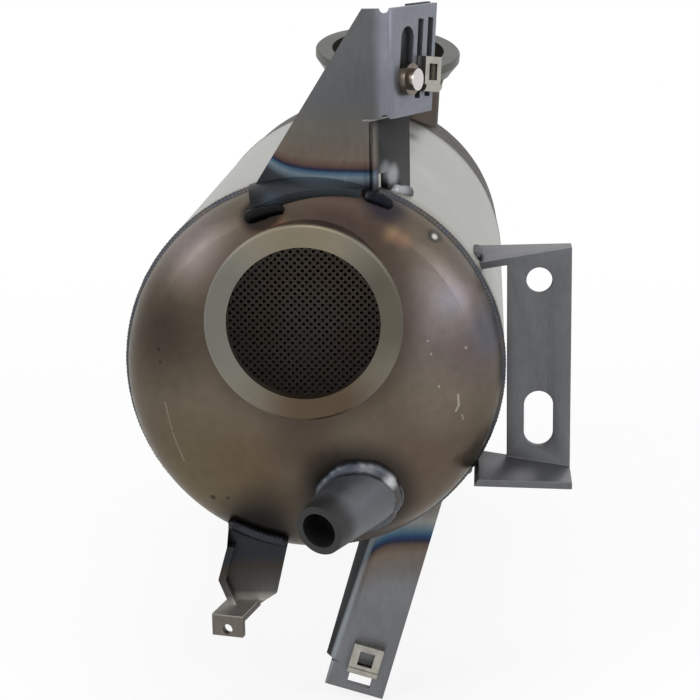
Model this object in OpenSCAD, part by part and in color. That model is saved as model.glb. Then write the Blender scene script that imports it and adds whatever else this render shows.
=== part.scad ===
// Diesel particulate filter: a stainless can that holds a wall-flow ceramic
// block, with an eccentric inlet cap, an outlet cap, a sensor boss and four
// welded sheet brackets. Millimetres, +Z up, the can lies along Y and its inlet
// faces -Y. The origin is the centre of the inlet ring's sealing face.

/* [Filter block] */
// Outside diameter of the ceramic block
monolith_d = 143.8; // [130:0.2:150]
// Length of the ceramic block
monolith_length = 203; // [180:1:220]
// Distance between neighbouring channels
cell_pitch = 8.6; // [8:0.2:10]
// Thickness of the wall between two channels
cell_wall = 1.8; // [1.2:0.1:2.4]
// Length of the plug that shuts each channel at one end
plug_length = 12; // [8:1:20]
// Narrowest solid skin left round the channels
block_skin = 2; // [1:0.5:4]

/* [Mat and shell] */
// Thickness of the mat between block and shell
mat_thickness = 3.9; // [3:0.1:5]
// Width of the wire seal at each end of the mat
seal_width = 5; // [3:0.5:8]
// Sheet thickness of the shell
shell_wall = 1.2; // [1:0.1:1.6]
// Length of each cap's spigot inside the shell
spigot_length = 13; // [10:0.5:15]

/* [Inlet cap] */
// Sheet thickness of both caps
cap_wall = 1.5; // [1.2:0.1:2]
// Height of the dome's crown in front of the seam
dome_rise = 35; // [33:0.5:36]
// Radius of the pressed shoulder
shoulder_r = 20; // [18:0.5:22]
// Height of the shoulder's middle in front of the seam
shoulder_h = 2.5; // [1.5:0.1:3]
// Sweep of the shoulder from the can's side to the crown
shoulder_turn = 60; // [57:0.5:61]
// Distance of the inlet axis below the can's top
inlet_drop = 49.7; // [48:0.1:53]
// Distance of the inlet ring's face in front of the seam
inlet_reach = 46; // [45.5:0.5:52]
// How much wider the neck is at the seam than at the ring
neck_spread = 9; // [6:0.5:12]
// Radius of the pressed dimple's ball
dimple_r = 7; // [5:0.5:9]
// Depth of the pressed dimple
dimple_depth = 1.2; // [0.6:0.1:1.8]
// Place of the dimple round the can, from +X towards +Z
dimple_turn = 48.4; // [40:0.1:56]
// Place of the dimple on the shoulder's sweep
dimple_lift = 30; // [24:1:36]

/* [Clamp rings] */
// Outside diameter of the inlet and outlet rings
ring_d = 76; // [74:0.5:80]
// Bore of the inlet and outlet rings
ring_bore = 59; // [57:0.5:60]
// Depth of a ring from its face to its back
ring_depth = 9; // [8:0.5:10]
// Depth of the full bore in front of the counterbore
ring_seat = 5; // [4:0.5:6]
// Width of the ring's outer edge
ring_edge = 4; // [3:0.5:5]
// Chamfer on the ring's outer edge
ring_chamfer = 0.8; // [0.4:0.1:1.2]
// Wall of the ring round the neck at its back
ring_back_wall = 2.4; // [2:0.1:3]
// Outside diameter of the neck where it enters a ring
neck_d = 64; // [63:0.2:66]

/* [Outlet] */
// Length of the outlet cap behind the seam
outlet_length = 78; // [76:1:86]
// Radius of the outlet cap's corner
outlet_corner = 24; // [16:1:28]
// Place of the outlet ring's centre to the right of the can axis
outlet_side = 17.8; // [12:0.2:22]
// Distance of the outlet ring's centre behind the rear seam
outlet_back = 36; // [34:0.5:40]
// Height of the outlet ring's face centre above the can axis
outlet_rise = 104.2; // [100:0.2:108]
// Forward lean of the outlet
outlet_tilt = 13; // [9:0.5:16]
// Sideways lean of the outlet
outlet_roll = 4; // [0:0.5:6]
// Outside diameter of the outlet pipe
pipe_d = 57; // [53:0.5:59]
// Height of the pipe's widened mouth
pipe_mouth = 12; // [10:0.5:16]

/* [Sensor boss] */
// Place of the boss root: right of the can axis
boss_x = 18.3; // [14:0.1:22]
// Place of the boss root: above the can's underside
boss_lift = 28.8; // [25:0.1:32]
// Lean of the boss to the left
boss_swing = 27; // [20:0.5:34]
// Lean of the boss downwards
boss_dip = 9.5; // [4:0.5:16]
// Length of the boss in front of the cap
boss_length = 30; // [24:0.5:36]
// Outside diameter at the mouth
boss_d = 20.4; // [19:0.2:23]
// Outside diameter at the root
boss_root_d = 27; // [25:0.2:30]
// Diameter of the tapped hole
boss_bore = 14.5; // [12:0.1:15.5]

/* [Top bracket] */
// Sheet thickness of the top bracket
top_sheet = 2.5; // [2:0.1:3]
// Outer radius of the web's fold
top_fold_r = 7; // [5:0.5:8]
// Outer radius of the lower flange's fold
flange_fold_r = 3.5; // [3:0.5:5]
// Turn of the front plate away from square to the can
top_plate_yaw = 3; // [2:0.2:4]
// Turn of the slotted web away from the can axis
top_web_yaw = 27; // [23:0.5:31]
// Place of the web's corner to the right of the can axis
top_corner_x = 32.3; // [30:0.1:35]
// Place of the web's corner in front of the seam
top_corner_lead = 9; // [8.5:0.1:10]
// Distance from the web's corner to the lower flange's corner
top_step = 8; // [7:0.2:10]
// Height of the bracket's top edge above the can axis
top_height = 142.5; // [138:0.5:146]
// Height of the web, from its lower edge to the bracket's top edge
web_depth = 42.4; // [40:0.1:45]
// Width of the front plate's top edge, from the web's corner
top_edge_width = 10.8; // [9:0.2:14]
// Width of the front plate at the height of the can's top
top_base_width = 52.4; // [49:0.2:55]
// Length of the web along its top edge
web_length = 38.5; // [37.5:0.1:41]
// Lean of the web's rear edge and slots
web_lean = 7; // [5:0.5:9]
// Length of the lower flange
flange_length = 31.3; // [28:0.1:34]
// Radius of the round relief at both ends of the web's fold
relief_r = 1.8; // [1.2:0.1:2.4]
// Distance of the reliefs from the web's corner, along the front plate
relief_at = 2.2; // [1.6:0.1:4]
// Height of the slit that parts the two folds
top_slit = 0.8; // [0.5:0.1:1.2]
// Reach of the foot in front of the seam, at the can's middle
foot_reach = 16; // [14:0.5:17]
// Slant of the foot's front edge, longer on the left
foot_slant = 9; // [5:0.5:12]
// How far the foot ends short of the lower corner
foot_short = 3.1; // [2:0.1:5]
// How far the foot reaches past the plate's left edge
foot_past = 3.8; // [2:0.2:5]

/* [Web slots] */
// Width of the bolt slot
bolt_slot_w = 10.2; // [9:0.2:11]
// Length of the bolt slot
bolt_slot_l = 26.4; // [24:0.2:29]
// Distance of the bolt slot's middle from the web's corner
bolt_slot_at = 14.8; // [14:0.2:15.6]
// Width of each narrow slot
thin_slot_w = 4.2; // [3.5:0.1:4.6]
// Length of each narrow slot
thin_slot_l = 31.1; // [28:0.1:33]
// Distance of the first narrow slot's middle from the web's corner
thin_slot_at = 25.2; // [24.6:0.1:25.8]
// Distance between the two narrow slots
thin_slot_gap = 8; // [7.4:0.1:8.4]
// Distance of the narrow slots' upper end below the web's top edge
slot_drop = 5.4; // [5:0.1:7]
// Distance of the bolt slot's upper end below the web's top edge
bolt_slot_drop = 7.6; // [6.5:0.1:8.5]

/* [Slot bolt] */
// Shank diameter
bolt_d = 8; // [6:0.5:8.5]
// Collar diameter
bolt_collar_d = 12.6; // [12:0.2:13.4]
// Collar thickness
bolt_collar_t = 3; // [2:0.2:4]
// Head diameter
bolt_head_d = 8.6; // [7.5:0.1:9.5]
// Head height beyond the collar
bolt_head_h = 2.6; // [1.5:0.1:4]
// Distance of the bolt's axis below the slot's upper end
bolt_below = 20.3; // [18:0.1:20.8]
// Sheet thickness of the backing plate
backing_sheet = 2.5; // [2:0.1:3]
// Distance of the backing plate's left edge from the bolt's axis
backing_edge = 6; // [5.5:0.1:6.5]
// Distance of the backing plate's right edge from the web's rear edge
backing_inset = 1; // [0.5:0.1:2]
// Start of the backing plate's raised tab, from the web's corner
backing_tab_at = 21; // [18:0.5:24]
// How far the tab stands above the web
backing_tab = 0.5; // [0.3:0.1:2]
// How far the backing plate ends above the web's lower edge
backing_foot = 2; // [1:0.2:3]
// Width of the nut across flats
nut_flats = 13; // [12:0.5:14]
// Height of the nut
nut_h = 6.5; // [5:0.5:8]

/* [Clip nuts] */
// Width of a clip nut
clip_w = 13; // [11:0.5:14]
// Height of a clip nut
clip_h = 12; // [11:0.5:13]
// Strip thickness of a clip nut
clip_t = 1; // [0.8:0.1:1.4]
// Height of a clip nut's cage
clip_cage = 4; // [3:0.2:5]
// Width of the opening in a clip nut
clip_window = 6.5; // [5:0.5:7.5]
// Radius of the rolled lip of a clip nut
clip_lip_r = 2.4; // [2:0.1:3]
// Height of the web's clip nut above the slot bolt
clip_rise = 1.5; // [0:0.1:3]
// Distance of the web's clip nut from the web's rear edge
clip_inset = 1.2; // [0:0.1:2]

/* [Right bracket] */
// Sheet thickness of the right bracket
right_sheet = 3; // [2.5:0.1:3.5]
// Gap between the can and the plate's inner edge
right_gap = 0.8; // [0.4:0.1:2]
// Width of the plate
right_w = 26.2; // [24:0.2:30]
// Place of the upper leg round the can, above the can axis
right_top_turn = 31.8; // [29:0.1:34]
// Place of the lower leg round the can, below the can axis
right_bottom_turn = 37; // [34:0.1:39]
// How much the plate grows at each end towards its outer edge
right_flare = 4.3; // [2:0.1:6]
// Place of the plate's front face behind the seam
right_back = 15; // [13:0.5:18]
// Depth of the upper leg at the can, running back
upper_leg_in = 30; // [26:0.5:34]
// Depth of the upper leg at the outer edge
upper_leg_out = 10; // [8:0.5:14]
// Depth of the lower leg at the can, running forward
lower_leg_in = 36; // [32:0.5:40]
// Depth of the lower leg at the outer edge
lower_leg_out = 25; // [20:0.5:28]
// Diameter of the round hole
right_hole_d = 10.5; // [9:0.5:12]
// Distance of the round hole below the plate's upper end
right_hole_drop = 9.2; // [8:0.2:12]
// Width of the slot
right_slot_w = 12; // [10:0.5:13]
// Length of the slot
right_slot_l = 23.4; // [20:0.2:26]
// Distance of the slot's middle above the plate's lower end
right_slot_lift = 19.4; // [17:0.2:22]

/* [Lower left bracket] */
// Sheet thickness of the lower left bracket
left_sheet = 3; // [2.5:0.1:3.5]
// Place of its front face in front of the seam
left_lead = 19; // [18:0.5:19.5]
// Place of its straight left edge: left of the can axis
left_out = 35; // [34:0.2:36]
// Place of its straight right edge: left of the can axis
left_in = 10.9; // [9:0.1:13]
// Length of its straight left edge below the dome
left_straight = 8.8; // [8:0.2:12]
// Place of the bulge in its left edge: left of the can axis
left_bulge_out = 39; // [37:0.5:41]
// Depth of that bulge below the edge's upper end
left_bulge_drop = 22.8; // [21:0.2:25]
// Place of the belly in its right edge: left of the can axis
left_belly_in = 15.9; // [14:0.1:18]
// Depth of that belly below the left edge's upper end
left_belly_drop = 30.4; // [28:0.2:32]
// Place of its end: left of the can axis
left_end_out = 29.2; // [27:0.2:31]
// Depth of its end below the left edge's upper end
left_end_drop = 36.4; // [35:0.2:38]
// Width of its end
left_end_w = 9; // [8:0.5:10]
// Height of its forward lip
left_lip = 6; // [4:0.5:8]
// Length of its forward tab
left_tab = 18; // [15:0.5:22]
// Turn of its forward tab to the left
left_tab_turn = 14; // [8:1:20]
// Height of the tab's front lip
left_front = 9; // [7:0.5:11]
// Width of the tab
left_tab_w = 13; // [11:0.5:15]
// Diameter of the hole in the tab's front lip
left_hole_d = 4.2; // [3:0.2:5]

/* [Lower right bracket] */
// Sheet thickness of the lower right bracket
low_sheet = 3; // [2.5:0.1:3.5]
// Place of its front face behind the seam
low_back = 14; // [12:0.5:16]
// Width of its face
low_w = 23.6; // [21:0.2:26]
// Lean of the strip to the left
low_lean = 16.3; // [14:0.1:19]
// Place of its root round the can, from +X towards +Z
low_turn = 299; // [297:0.5:302]
// Length of the strip from its root to the clip nut's seat
low_length = 68.4; // [64:0.2:72]
// Length of the strip beyond the clip nut's seat
low_tail = 17; // [15:0.5:19]
// Width of the flat tail
low_tail_w = 25.8; // [24:0.2:28]
// Width of the swept-back flange
low_flange_w = 8; // [6:0.5:10]
// Sweep of the flange
low_flange_turn = 52; // [44:1:60]
// Outer radius of the flange's fold
low_fold_r = 5; // [4:0.5:6]
// Width of the rectangular hole
low_hole_w = 10; // [8:0.5:11]
// Height of the rectangular hole
low_hole_h = 7; // [5.5:0.5:7.5]

/* [Welds] */
// Radius of the front seam's bead
seam_bead_r = 2.4; // [2:0.1:2.6]
// Radius of the rear seam's bead
rear_bead_r = 1.5; // [1.2:0.1:2]
// Radius of the ring beads
ring_bead_r = 1.8; // [1.2:0.1:2.2]
// Radius of the bracket beads
bracket_bead_r = 2.4; // [1.8:0.1:2.8]
// Radius of the top bracket's beads
top_bead_r = 3; // [2.4:0.1:3.6]
// Radius of the heavy bead round the sensor boss
boss_bead_r = 3.4; // [2.6:0.1:4]
// Span of the top foot's left bead round the can
foot_bead_left = 15; // [12:1:18]
// How much of that bead lies along the foot's front edge
foot_bead_lap = 11; // [8:1:13]
// Span of the top foot's right bead round the can
foot_bead_right = 11; // [8:1:14]
// Place of the right bead behind the foot's front edge
foot_bead_back = 2; // [1.5:0.1:3]
// Length of each of the right bracket's beads
right_bead_l = 18; // [14:0.5:22]
// Span of the lower right bracket's bead round the can
low_bead_span = 22; // [18:1:25]

/* [Clearances] */
// Gap between a cap's spigot and the shell
spigot_gap = 0.1; // [0.05:0.05:0.3]
// Gap between a neck and its ring's counterbore
neck_gap = 0.1; // [0.05:0.05:0.3]
// Gap between a bracket and a seam bead
bead_gap = 0.5; // [0.3:0.1:1]
// Gap between the bolt's shank and the hole in the backing plate
shank_gap = 0.3; // [0.2:0.1:0.6]

/* [Output] */
// Which node to draw

/* [Hidden] */

over = 1;                 // overshoot of every cutting tool
far = 400;                // larger than the part
big_fn = 180;
mid_fn = 40;
small_fn = 48;

monolith_r = monolith_d / 2;
shell_in = monolith_r + mat_thickness;
can_r = shell_in + shell_wall;
can_length = monolith_length + 2 * spigot_length;
spigot_r = shell_in - spigot_gap;

inlet_rise = can_r - inlet_drop;                // height of the inlet axis above the can axis
shoulder_c = spigot_r - shoulder_r;
dome_r = crown_r(0);
dome_c = dome_r - dome_rise;

ring_r = ring_d / 2;
bore_r = ring_bore / 2;
neck_r = neck_d / 2;
counter_r = neck_r + neck_gap;
ring_back_r = counter_r + ring_back_wall;

bead_sink = 0.8;          // share of a seam bead's radius that lies under the shell's outside
bead_lead = 0.33;         // share of it that lies in front of the seam
bead_top = can_r + (1 - bead_sink) * seam_bead_r;
bead_span = (1 + bead_lead) * seam_bead_r;

fold_bite = 0.01;         // both arcs of a fold pass their flats by this much
relief_turn = 45;         // keeps a relief's seam line off the sheet's edge
web_bottom = top_height - web_depth;
web_turn = 90 - top_web_yaw + top_plate_yaw;
top_corner = [top_corner_x, -top_corner_lead];
low_corner = top_corner + top_step * [-cos(top_plate_yaw), sin(top_plate_yaw)];
flange_set = flange_fold_r * tan(web_turn / 2);
foot_from = acos((low_corner[0] - foot_short) / can_r);     // angles round the can, from +X towards +Z
foot_to = acos((top_corner[0] - top_base_width * cos(top_plate_yaw) - foot_past) / can_r);
plate_low = can_r * sin(foot_to);

boss_drop = can_r - boss_lift;
boss_axis = [-sin(boss_swing) * cos(boss_dip), -cos(boss_swing) * cos(boss_dip), -sin(boss_dip)];
boss_reach = dome_height(norm([boss_x, boss_drop]));
boss_bury = 18;           // hidden length of the boss inside the dome's envelope

bolt_height = top_height - bolt_slot_drop - bolt_below;
bolt_along = bolt_slot_at - bolt_below * tan(web_lean);

right_top = can_r * sin(right_top_turn);
right_bottom = can_r * sin(right_bottom_turn);
low_face = can_r * [cos(low_turn), sin(low_turn)] - low_length * [sin(low_lean), cos(low_lean)];
left_seat = shoulder_radius(left_lead - left_sheet);    // the lower left strip's arc on the shoulder
left_hang = sqrt(pow(left_seat, 2) - pow(left_out, 2)); // depth at which its left edge starts

// Where the crown meets the shoulder, walls moved in by inset.
function crown_edge(inset) = [shoulder_c, shoulder_h] + (shoulder_r - inset) * [cos(shoulder_turn), sin(shoulder_turn)];

// Radius of the crown: an arc from its top on the can axis to the shoulder.
function crown_r(inset) = let (e = crown_edge(inset), drop = dome_rise - inset - e[1])
    (drop * drop + e[0] * e[0]) / (2 * drop);

// Height of the dome above the seam at a distance from the can axis.
function dome_height(r) = sqrt(pow(dome_r, 2) - r * r) - dome_c;

// Radius of the shoulder at a height above the seam.
function shoulder_radius(h) = shoulder_c + sqrt(pow(shoulder_r, 2) - pow(h - shoulder_h, 2));

// Placing

// From the can's own frame (seam centre) to the row frame (inlet face centre).
module at_frame() translate([0, inlet_reach, -inlet_rise]) children();

// Revolves a profile (distance from can axis, height in front of seam) about the can axis.
module revolve(from = 0, span = 360) rotate([90, 0, 0]) rotate([0, 0, from])
    rotate_extrude(angle = span, $fn = big_fn) children();

// Stands a flat shape (x, z) square to the can, its back at y.
module upright(y, t) translate([0, y, 0]) rotate([90, 0, 0]) linear_extrude(t) children();

// A strip folded once: one leg to -x, one leg turned towards +y, outer face on y = 0.
// The origin is the sharp outer corner.
module fold2d(first, second, turn, t, r) {
    set = r * tan(turn / 2);
    middle = [-set, r];
    along = [cos(turn), sin(turn)];
    inward = [-sin(turn), cos(turn)];
    difference() {
        polygon([[-first, 0], [0, 0], second * along, second * along + t * inward,
                 set * along + t * inward, [-set, t], [-first, t]]);
        difference() {
            polygon([[-set, 0], [0, 0], set * along, middle]);
            translate(middle) circle(r + fold_bite, $fn = big_fn);
        }
        translate(middle) circle(r - t + fold_bite, $fn = big_fn);
    }
}

// A slot with round ends, upper end on y = 0, hanging down.
module slot2d(w, l) {
    translate([0, -w / 2]) circle(w / 2, $fn = mid_fn);
    translate([0, w / 2 - l]) circle(w / 2, $fn = mid_fn);
    translate([-w / 2, w / 2 - l]) square([w, l - w]);
}

// Shared forms

// Filled profile of the inlet cap's dome, its walls moved in by inset.
module dome_profile(inset, back) {
    s = [shoulder_c, shoulder_h];
    out = 3 * shoulder_r;
    edge = s + out * [cos(shoulder_turn), sin(shoulder_turn)];
    crown = crown_r(inset);
    translate([0, -back]) square([spigot_r - inset, back + shoulder_h]);
    intersection() {
        translate(s) circle(shoulder_r - inset, $fn = big_fn);
        polygon([s, s + [out, 0], s + [out, out], edge]);
    }
    intersection() {
        translate([0, dome_rise - inset - crown]) circle(crown, $fn = big_fn);
        polygon([[0, shoulder_h], s, edge, [0, edge[1]]]);
    }
}

// Filled dome, for cutting what stands on it.
module dome_body() revolve() dome_profile(0, spigot_length);

// Ball of the dome's crown.
module crown_ball() translate([0, dome_c, 0]) sphere(dome_r, $fn = big_fn);

// Filled neck of the inlet cap, from inside the dome to its end in the ring.
module neck_body(inset, tip) translate([0, 0, inlet_rise]) rotate([90, 0, 0]) {
    flare = inlet_reach - ring_depth;
    cylinder(flare, neck_r + neck_spread - inset, neck_r - inset, $fn = big_fn);
    translate([0, 0, flare - over / 10]) cylinder(ring_depth - ring_seat + tip + over / 10, r = neck_r - inset, $fn = big_fn);
}

// Filled outlet cap without its pipe.
module outlet_body(inset) {
    r = spigot_r - inset;
    c = outlet_corner - inset;
    straight = can_length + outlet_length - outlet_corner;
    start = can_length - spigot_length - (inset > 0 ? over : 0);
    revolve() {
        translate([0, -straight]) square([r, straight - start]);
        translate([0, -straight - c]) square([r - c, c + over]);
        intersection() {
            translate([r - c, -straight]) circle(c, $fn = big_fn);
            translate([r - c, -straight - c]) square(c);
        }
    }
}

// Places the outlet pipe's frame: z leaves the ring, z = 0 is the ring's face.
module at_outlet() translate([outlet_side, can_length + outlet_back, outlet_rise])
    rotate([outlet_tilt, outlet_roll, 0]) children();

// Filled outlet pipe, widened under its ring.
module pipe_body(inset, tip) at_outlet() rotate_extrude($fn = big_fn) {
    top = -ring_seat + tip;
    polygon([[0, -outlet_rise + can_r / 2], [pipe_d / 2 - inset, -outlet_rise + can_r / 2],
             [pipe_d / 2 - inset, -ring_depth - pipe_mouth], [neck_r - inset, -ring_depth],
             [neck_r - inset, top], [0, top]]);
}

// Section of a clamp ring, face on height 0, back at -ring_depth.
module ring_profile() polygon([[bore_r, 0], [ring_r - ring_chamfer, 0], [ring_r, -ring_chamfer], [ring_r, -ring_edge],
    [ring_back_r, -ring_depth], [counter_r, -ring_depth], [counter_r, -ring_seat], [bore_r, -ring_seat]]);

// Section of the bead between a ring's back and its neck.
module ring_bead_profile(slope) difference() {
    translate([neck_r + ring_bead_r / 3, -ring_depth]) circle(ring_bead_r, $fn = small_fn);
    translate([0, -ring_depth]) square(2 * ring_r);
    polygon([[0, -ring_depth], [neck_r, -ring_depth], [neck_r + slope * ring_r, -ring_depth - ring_r], [0, -ring_depth - ring_r]]);
}

// Places the boss frame: z leaves the can along the boss, z = 0 is on the dome.
module at_boss() translate([boss_x, -boss_reach, -boss_drop])
    rotate([0, 0, -boss_swing]) rotate([90 + boss_dip, 0, 0]) children();

// Filled boss with its buried root.
module boss_body() at_boss() {
    grow = (boss_root_d - boss_d) / boss_length;
    translate([0, 0, -boss_bury])
        cylinder(boss_length + boss_bury, (boss_root_d + grow * boss_bury) / 2, boss_d / 2, $fn = mid_fn);
}

module boss_hole() at_boss() translate([0, 0, -2 * boss_bury])
    cylinder(boss_length + 2 * boss_bury + over, d = boss_bore, $fn = mid_fn);

// Filled shell.
module shell_body() revolve() translate([0, -can_length]) square([can_r, can_length]);

// Room that the front seam's bead needs, carried on in front of the seam.
module bead_room(ahead) revolve() translate([0, -bead_span]) square([bead_top + bead_gap, bead_span + ahead]);

// Section of a round seam bead, the seam on height 0.
module seam_bead(r) translate([can_r - bead_sink * r, bead_lead * r]) circle(r, $fn = small_fn);

// Places the web's frame: x runs along the web from its corner, y is up, z leaves its outer face.
module at_web() translate([top_corner[0], top_corner[1], 0]) rotate([0, 0, 90 - top_web_yaw])
    rotate([90, 0, 0]) children();

// Places one slot of the web at its distance from the corner.
module at_slot(along, drop) translate([along, top_height - drop, 0]) rotate(-web_lean) children();

// Places the bolt on the bolt slot's middle line.
module at_bolt() translate([bolt_along, bolt_height, 0]) children();

// Places the lower right strip's frame: x across, y up the strip, z leaves its front face.
module at_strip() translate([low_face[0], low_back, low_face[1]]) rotate([0, low_lean, 0])
    rotate([90, 0, 0]) children();

// One clip nut on a face at z = 0: a cage with a window over a plate with a rolled lip.
module clip_nut() {
    difference() {
        translate([-clip_w / 2, -clip_h / 2, 0]) cube([clip_w, clip_h, clip_cage]);
        translate([-clip_w / 2 + clip_t, -clip_h / 2 - over, clip_t])
            cube([clip_w - 2 * clip_t, clip_h - clip_t + over, clip_cage - 2 * clip_t]);
        translate([-clip_window / 2, -clip_window / 2, -over]) cube([clip_window, clip_window, clip_cage + 2 * over]);
    }
    translate([-clip_w / 2, -clip_h / 2 + clip_t / 2, clip_lip_r]) rotate([0, 90, 0]) difference() {
        cylinder(clip_w, r = clip_lip_r, $fn = small_fn);
        translate([0, 0, -over]) cylinder(clip_w + 2 * over, r = clip_lip_r - clip_t, $fn = small_fn);
        translate([-far / 2, clip_t / 2, -over]) cube([far, far, clip_w + 2 * over]);
    }
}

// Pieces

module shell() color("#AFB2AC") at_frame() revolve() translate([shell_in, -can_length]) square([shell_wall, can_length]);

// Wall-flow block: every second channel opens at the front, the others at the rear.
module monolith() color("#3A3836") at_frame() difference() {
    translate([0, can_length - spigot_length, 0]) rotate([90, 0, 0]) cylinder(monolith_length, r = monolith_r, $fn = big_fn);
    cells(0, spigot_length - over);
    cells(1, spigot_length + plug_length);
}

// The channels of one parity, from a distance behind the seam.
module cells(parity, start) {
    n = floor(monolith_r / cell_pitch);
    hole = cell_pitch - cell_wall;
    reach = monolith_r - block_skin - hole * sqrt(2) / 2;
    translate([0, start + monolith_length - plug_length + over, 0]) rotate([90, 0, 0])
        linear_extrude(monolith_length - plug_length + over)
            for (i = [-n:n], j = [-n:n])
                if (abs(i + j) % 2 == parity && norm([i, j]) * cell_pitch < reach)
                    translate([i * cell_pitch, j * cell_pitch]) square(hole, center = true);
}

module mat() color("#D8D4C8") at_frame() revolve()
    translate([monolith_r, -can_length + spigot_length + seal_width])
        square([mat_thickness, monolith_length - 2 * seal_width]);

module front_seal() color("#8A8C8E") at_frame() revolve()
    translate([monolith_r, -spigot_length - seal_width]) square([mat_thickness, seal_width]);

module rear_seal() color("#8A8C8E") at_frame() revolve()
    translate([monolith_r, -can_length + spigot_length]) square([mat_thickness, seal_width]);

module inlet_cap() color("#5C5242") at_frame() difference() {
    union() {
        difference() {
            union() {
                dome_body();
                neck_body(0, 0);
            }
            revolve() dome_profile(cap_wall, spigot_length + over);
            neck_body(cap_wall, over);
        }
        intersection() {
            dome_body();
            dimple(dimple_r + cap_wall);
        }
    }
    dimple(dimple_r);
    boss_hole();
}

// Ball that presses the dimple into the shoulder.
module dimple(r) {
    out = shoulder_r + dimple_r - dimple_depth;
    rotate([0, -dimple_turn, 0])
        translate([shoulder_c + out * cos(dimple_lift), -shoulder_h - out * sin(dimple_lift), 0])
            sphere(r, $fn = mid_fn);
}

module inlet_ring() color("#9C9684") at_frame() translate([0, -inlet_reach, inlet_rise]) rotate([90, 0, 0])
    rotate_extrude($fn = big_fn) ring_profile();

module inlet_ring_weld() color("#6E6860") at_frame() translate([0, -inlet_reach, inlet_rise]) rotate([90, 0, 0])
    rotate_extrude($fn = big_fn) ring_bead_profile(neck_spread / (inlet_reach - ring_depth));

module outlet_cap() color("#77736A") at_frame() difference() {
    union() {
        outlet_body(0);
        pipe_body(0, 0);
    }
    outlet_body(cap_wall);
    pipe_body(cap_wall, over);
}

module outlet_ring() color("#85887F") at_frame() at_outlet() rotate_extrude($fn = big_fn) ring_profile();

module outlet_ring_weld() color("#6E6860") at_frame() at_outlet() rotate_extrude($fn = big_fn)
    ring_bead_profile((pipe_d / 2 - neck_r) / pipe_mouth);

module front_seam_weld() color("#5A5650") at_frame() revolve() difference() {
    seam_bead(seam_bead_r);
    translate([0, -2 * bead_span]) square([can_r, 2 * bead_span]);
    dome_profile(0, spigot_length);
}

module rear_seam_weld() color("#5A5650") at_frame() revolve() translate([0, -can_length]) mirror([0, 1]) difference() {
    seam_bead(rear_bead_r);
    translate([0, -2 * bead_span]) square([can_r, 2 * bead_span]);
    square([spigot_r, 2 * bead_span]);
}

module sensor_boss() color("#55575A") at_frame() difference() {
    boss_body();
    crown_ball();
    boss_hole();
}

// Heavy bead that lies round the boss on the dome.
module boss_weld() color("#6A6C6E") at_frame() difference() {
    lean = asin(boss_drop / dome_r);
    side = asin(boss_x / dome_r);
    translate([boss_x, -boss_reach, -boss_drop]) rotate([90 + lean, 0, 0]) rotate([0, side, 0])
        rotate_extrude($fn = mid_fn) translate([boss_root_d / 2 + boss_bead_r / 3, 0]) circle(boss_bead_r, $fn = small_fn);
    boss_body();
    crown_ball();
}

module top_bracket() color("#5C5C5E") at_frame() difference() {
    union() {
        difference() {
            top_sheet_on_shell();
            dome_body();
        }
        top_foot();
    }
    at_web() web_slots();
    fold_relief();
}

// The folded sheet, trimmed at its edges and set on the shell.
module top_sheet_on_shell() difference() {
    union() {
        top_fold(0, 2 * top_base_width, web_length + over, web_bottom, top_height, top_fold_r);
        top_neck();
        top_fold(top_step, 2 * top_base_width - top_step, flange_length, plate_low, web_bottom - top_slit, flange_fold_r);
        top_fold(top_step, flange_set + top_sheet, flange_length, 0, plate_low, flange_fold_r);
    }
    top_side_cut();
    web_rear_cut();
    seam_relief();
    shell_body();
}

// One storey of the folded sheet: front plate and the leg turned back from it, its corner set back along the plate.
module top_fold(back, plate, leg, low, high, r) translate([top_corner[0], top_corner[1], low])
    rotate([0, 0, -top_plate_yaw]) linear_extrude(high - low) translate([-back, 0])
        fold2d(plate, leg, web_turn, top_sheet, r);

// The front plate between the two storeys, left of the slit that parts their folds.
module top_neck() translate([top_corner[0], top_corner[1], web_bottom - top_slit]) rotate([0, 0, -top_plate_yaw])
    translate([-2 * top_base_width, 0, 0])
        cube([2 * top_base_width - top_step - flange_set - top_slit, top_sheet, top_slit]);

// Everything to the left of the front plate's sloping edge.
module top_side_cut() {
    rise = top_height - can_r;
    run = (top_base_width - top_edge_width) * cos(top_plate_yaw);
    edge_x = top_corner_x - top_edge_width * cos(top_plate_yaw);
    slope = run / rise;
    upright(far / 2, far) polygon([[edge_x + slope * over, top_height + over], [-far, top_height + over], [-far, 0],
                                   [edge_x - slope * top_height, 0]]);
}

// Everything behind the web's leaning rear edge.
module web_rear_cut() at_web() translate([web_length, top_height, -far / 2]) rotate(-web_lean)
    translate([0, -top_height + web_bottom - over]) cube([far, top_height, far]);

// Notch that lets the lower flange pass over the seam's bead.
module seam_relief() translate([0, -bead_span, 0]) cube([can_r, 2 * bead_span, bead_top + bead_gap]);

// Foot of the front plate, formed to the dome's shoulder, its front edge on a slant.
module top_foot() difference() {
    revolve(foot_from, foot_to - foot_from) difference() {
        translate([shoulder_c, shoulder_h]) difference() {
            circle(shoulder_r + top_sheet, $fn = big_fn);
            circle(shoulder_r, $fn = big_fn);
        }
        translate([0, -far + bead_span + bead_gap]) square(far);
        square([shoulder_c, far]);
    }
    translate([0, -foot_reach, 0]) rotate([0, 0, foot_slant]) translate([-far / 2, -far, -far / 2]) cube(far);
}

module web_slots() translate([0, 0, -2 * top_sheet]) linear_extrude(4 * top_sheet) {
    at_slot(bolt_slot_at, bolt_slot_drop) slot2d(bolt_slot_w, bolt_slot_l);
    for (k = [0, 1]) at_slot(thin_slot_at + k * thin_slot_gap, slot_drop)
        translate([-thin_slot_w / 2, -thin_slot_l]) square([thin_slot_w, thin_slot_l]);
}

// Round reliefs at both ends of the web's fold.
module fold_relief() for (z = [web_bottom, top_height])
    translate([top_corner[0] - relief_at, top_corner[1] - over, z]) rotate([-90, relief_turn, 0])
        cylinder(top_fold_r + over, r = relief_r, $fn = small_fn);

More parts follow.
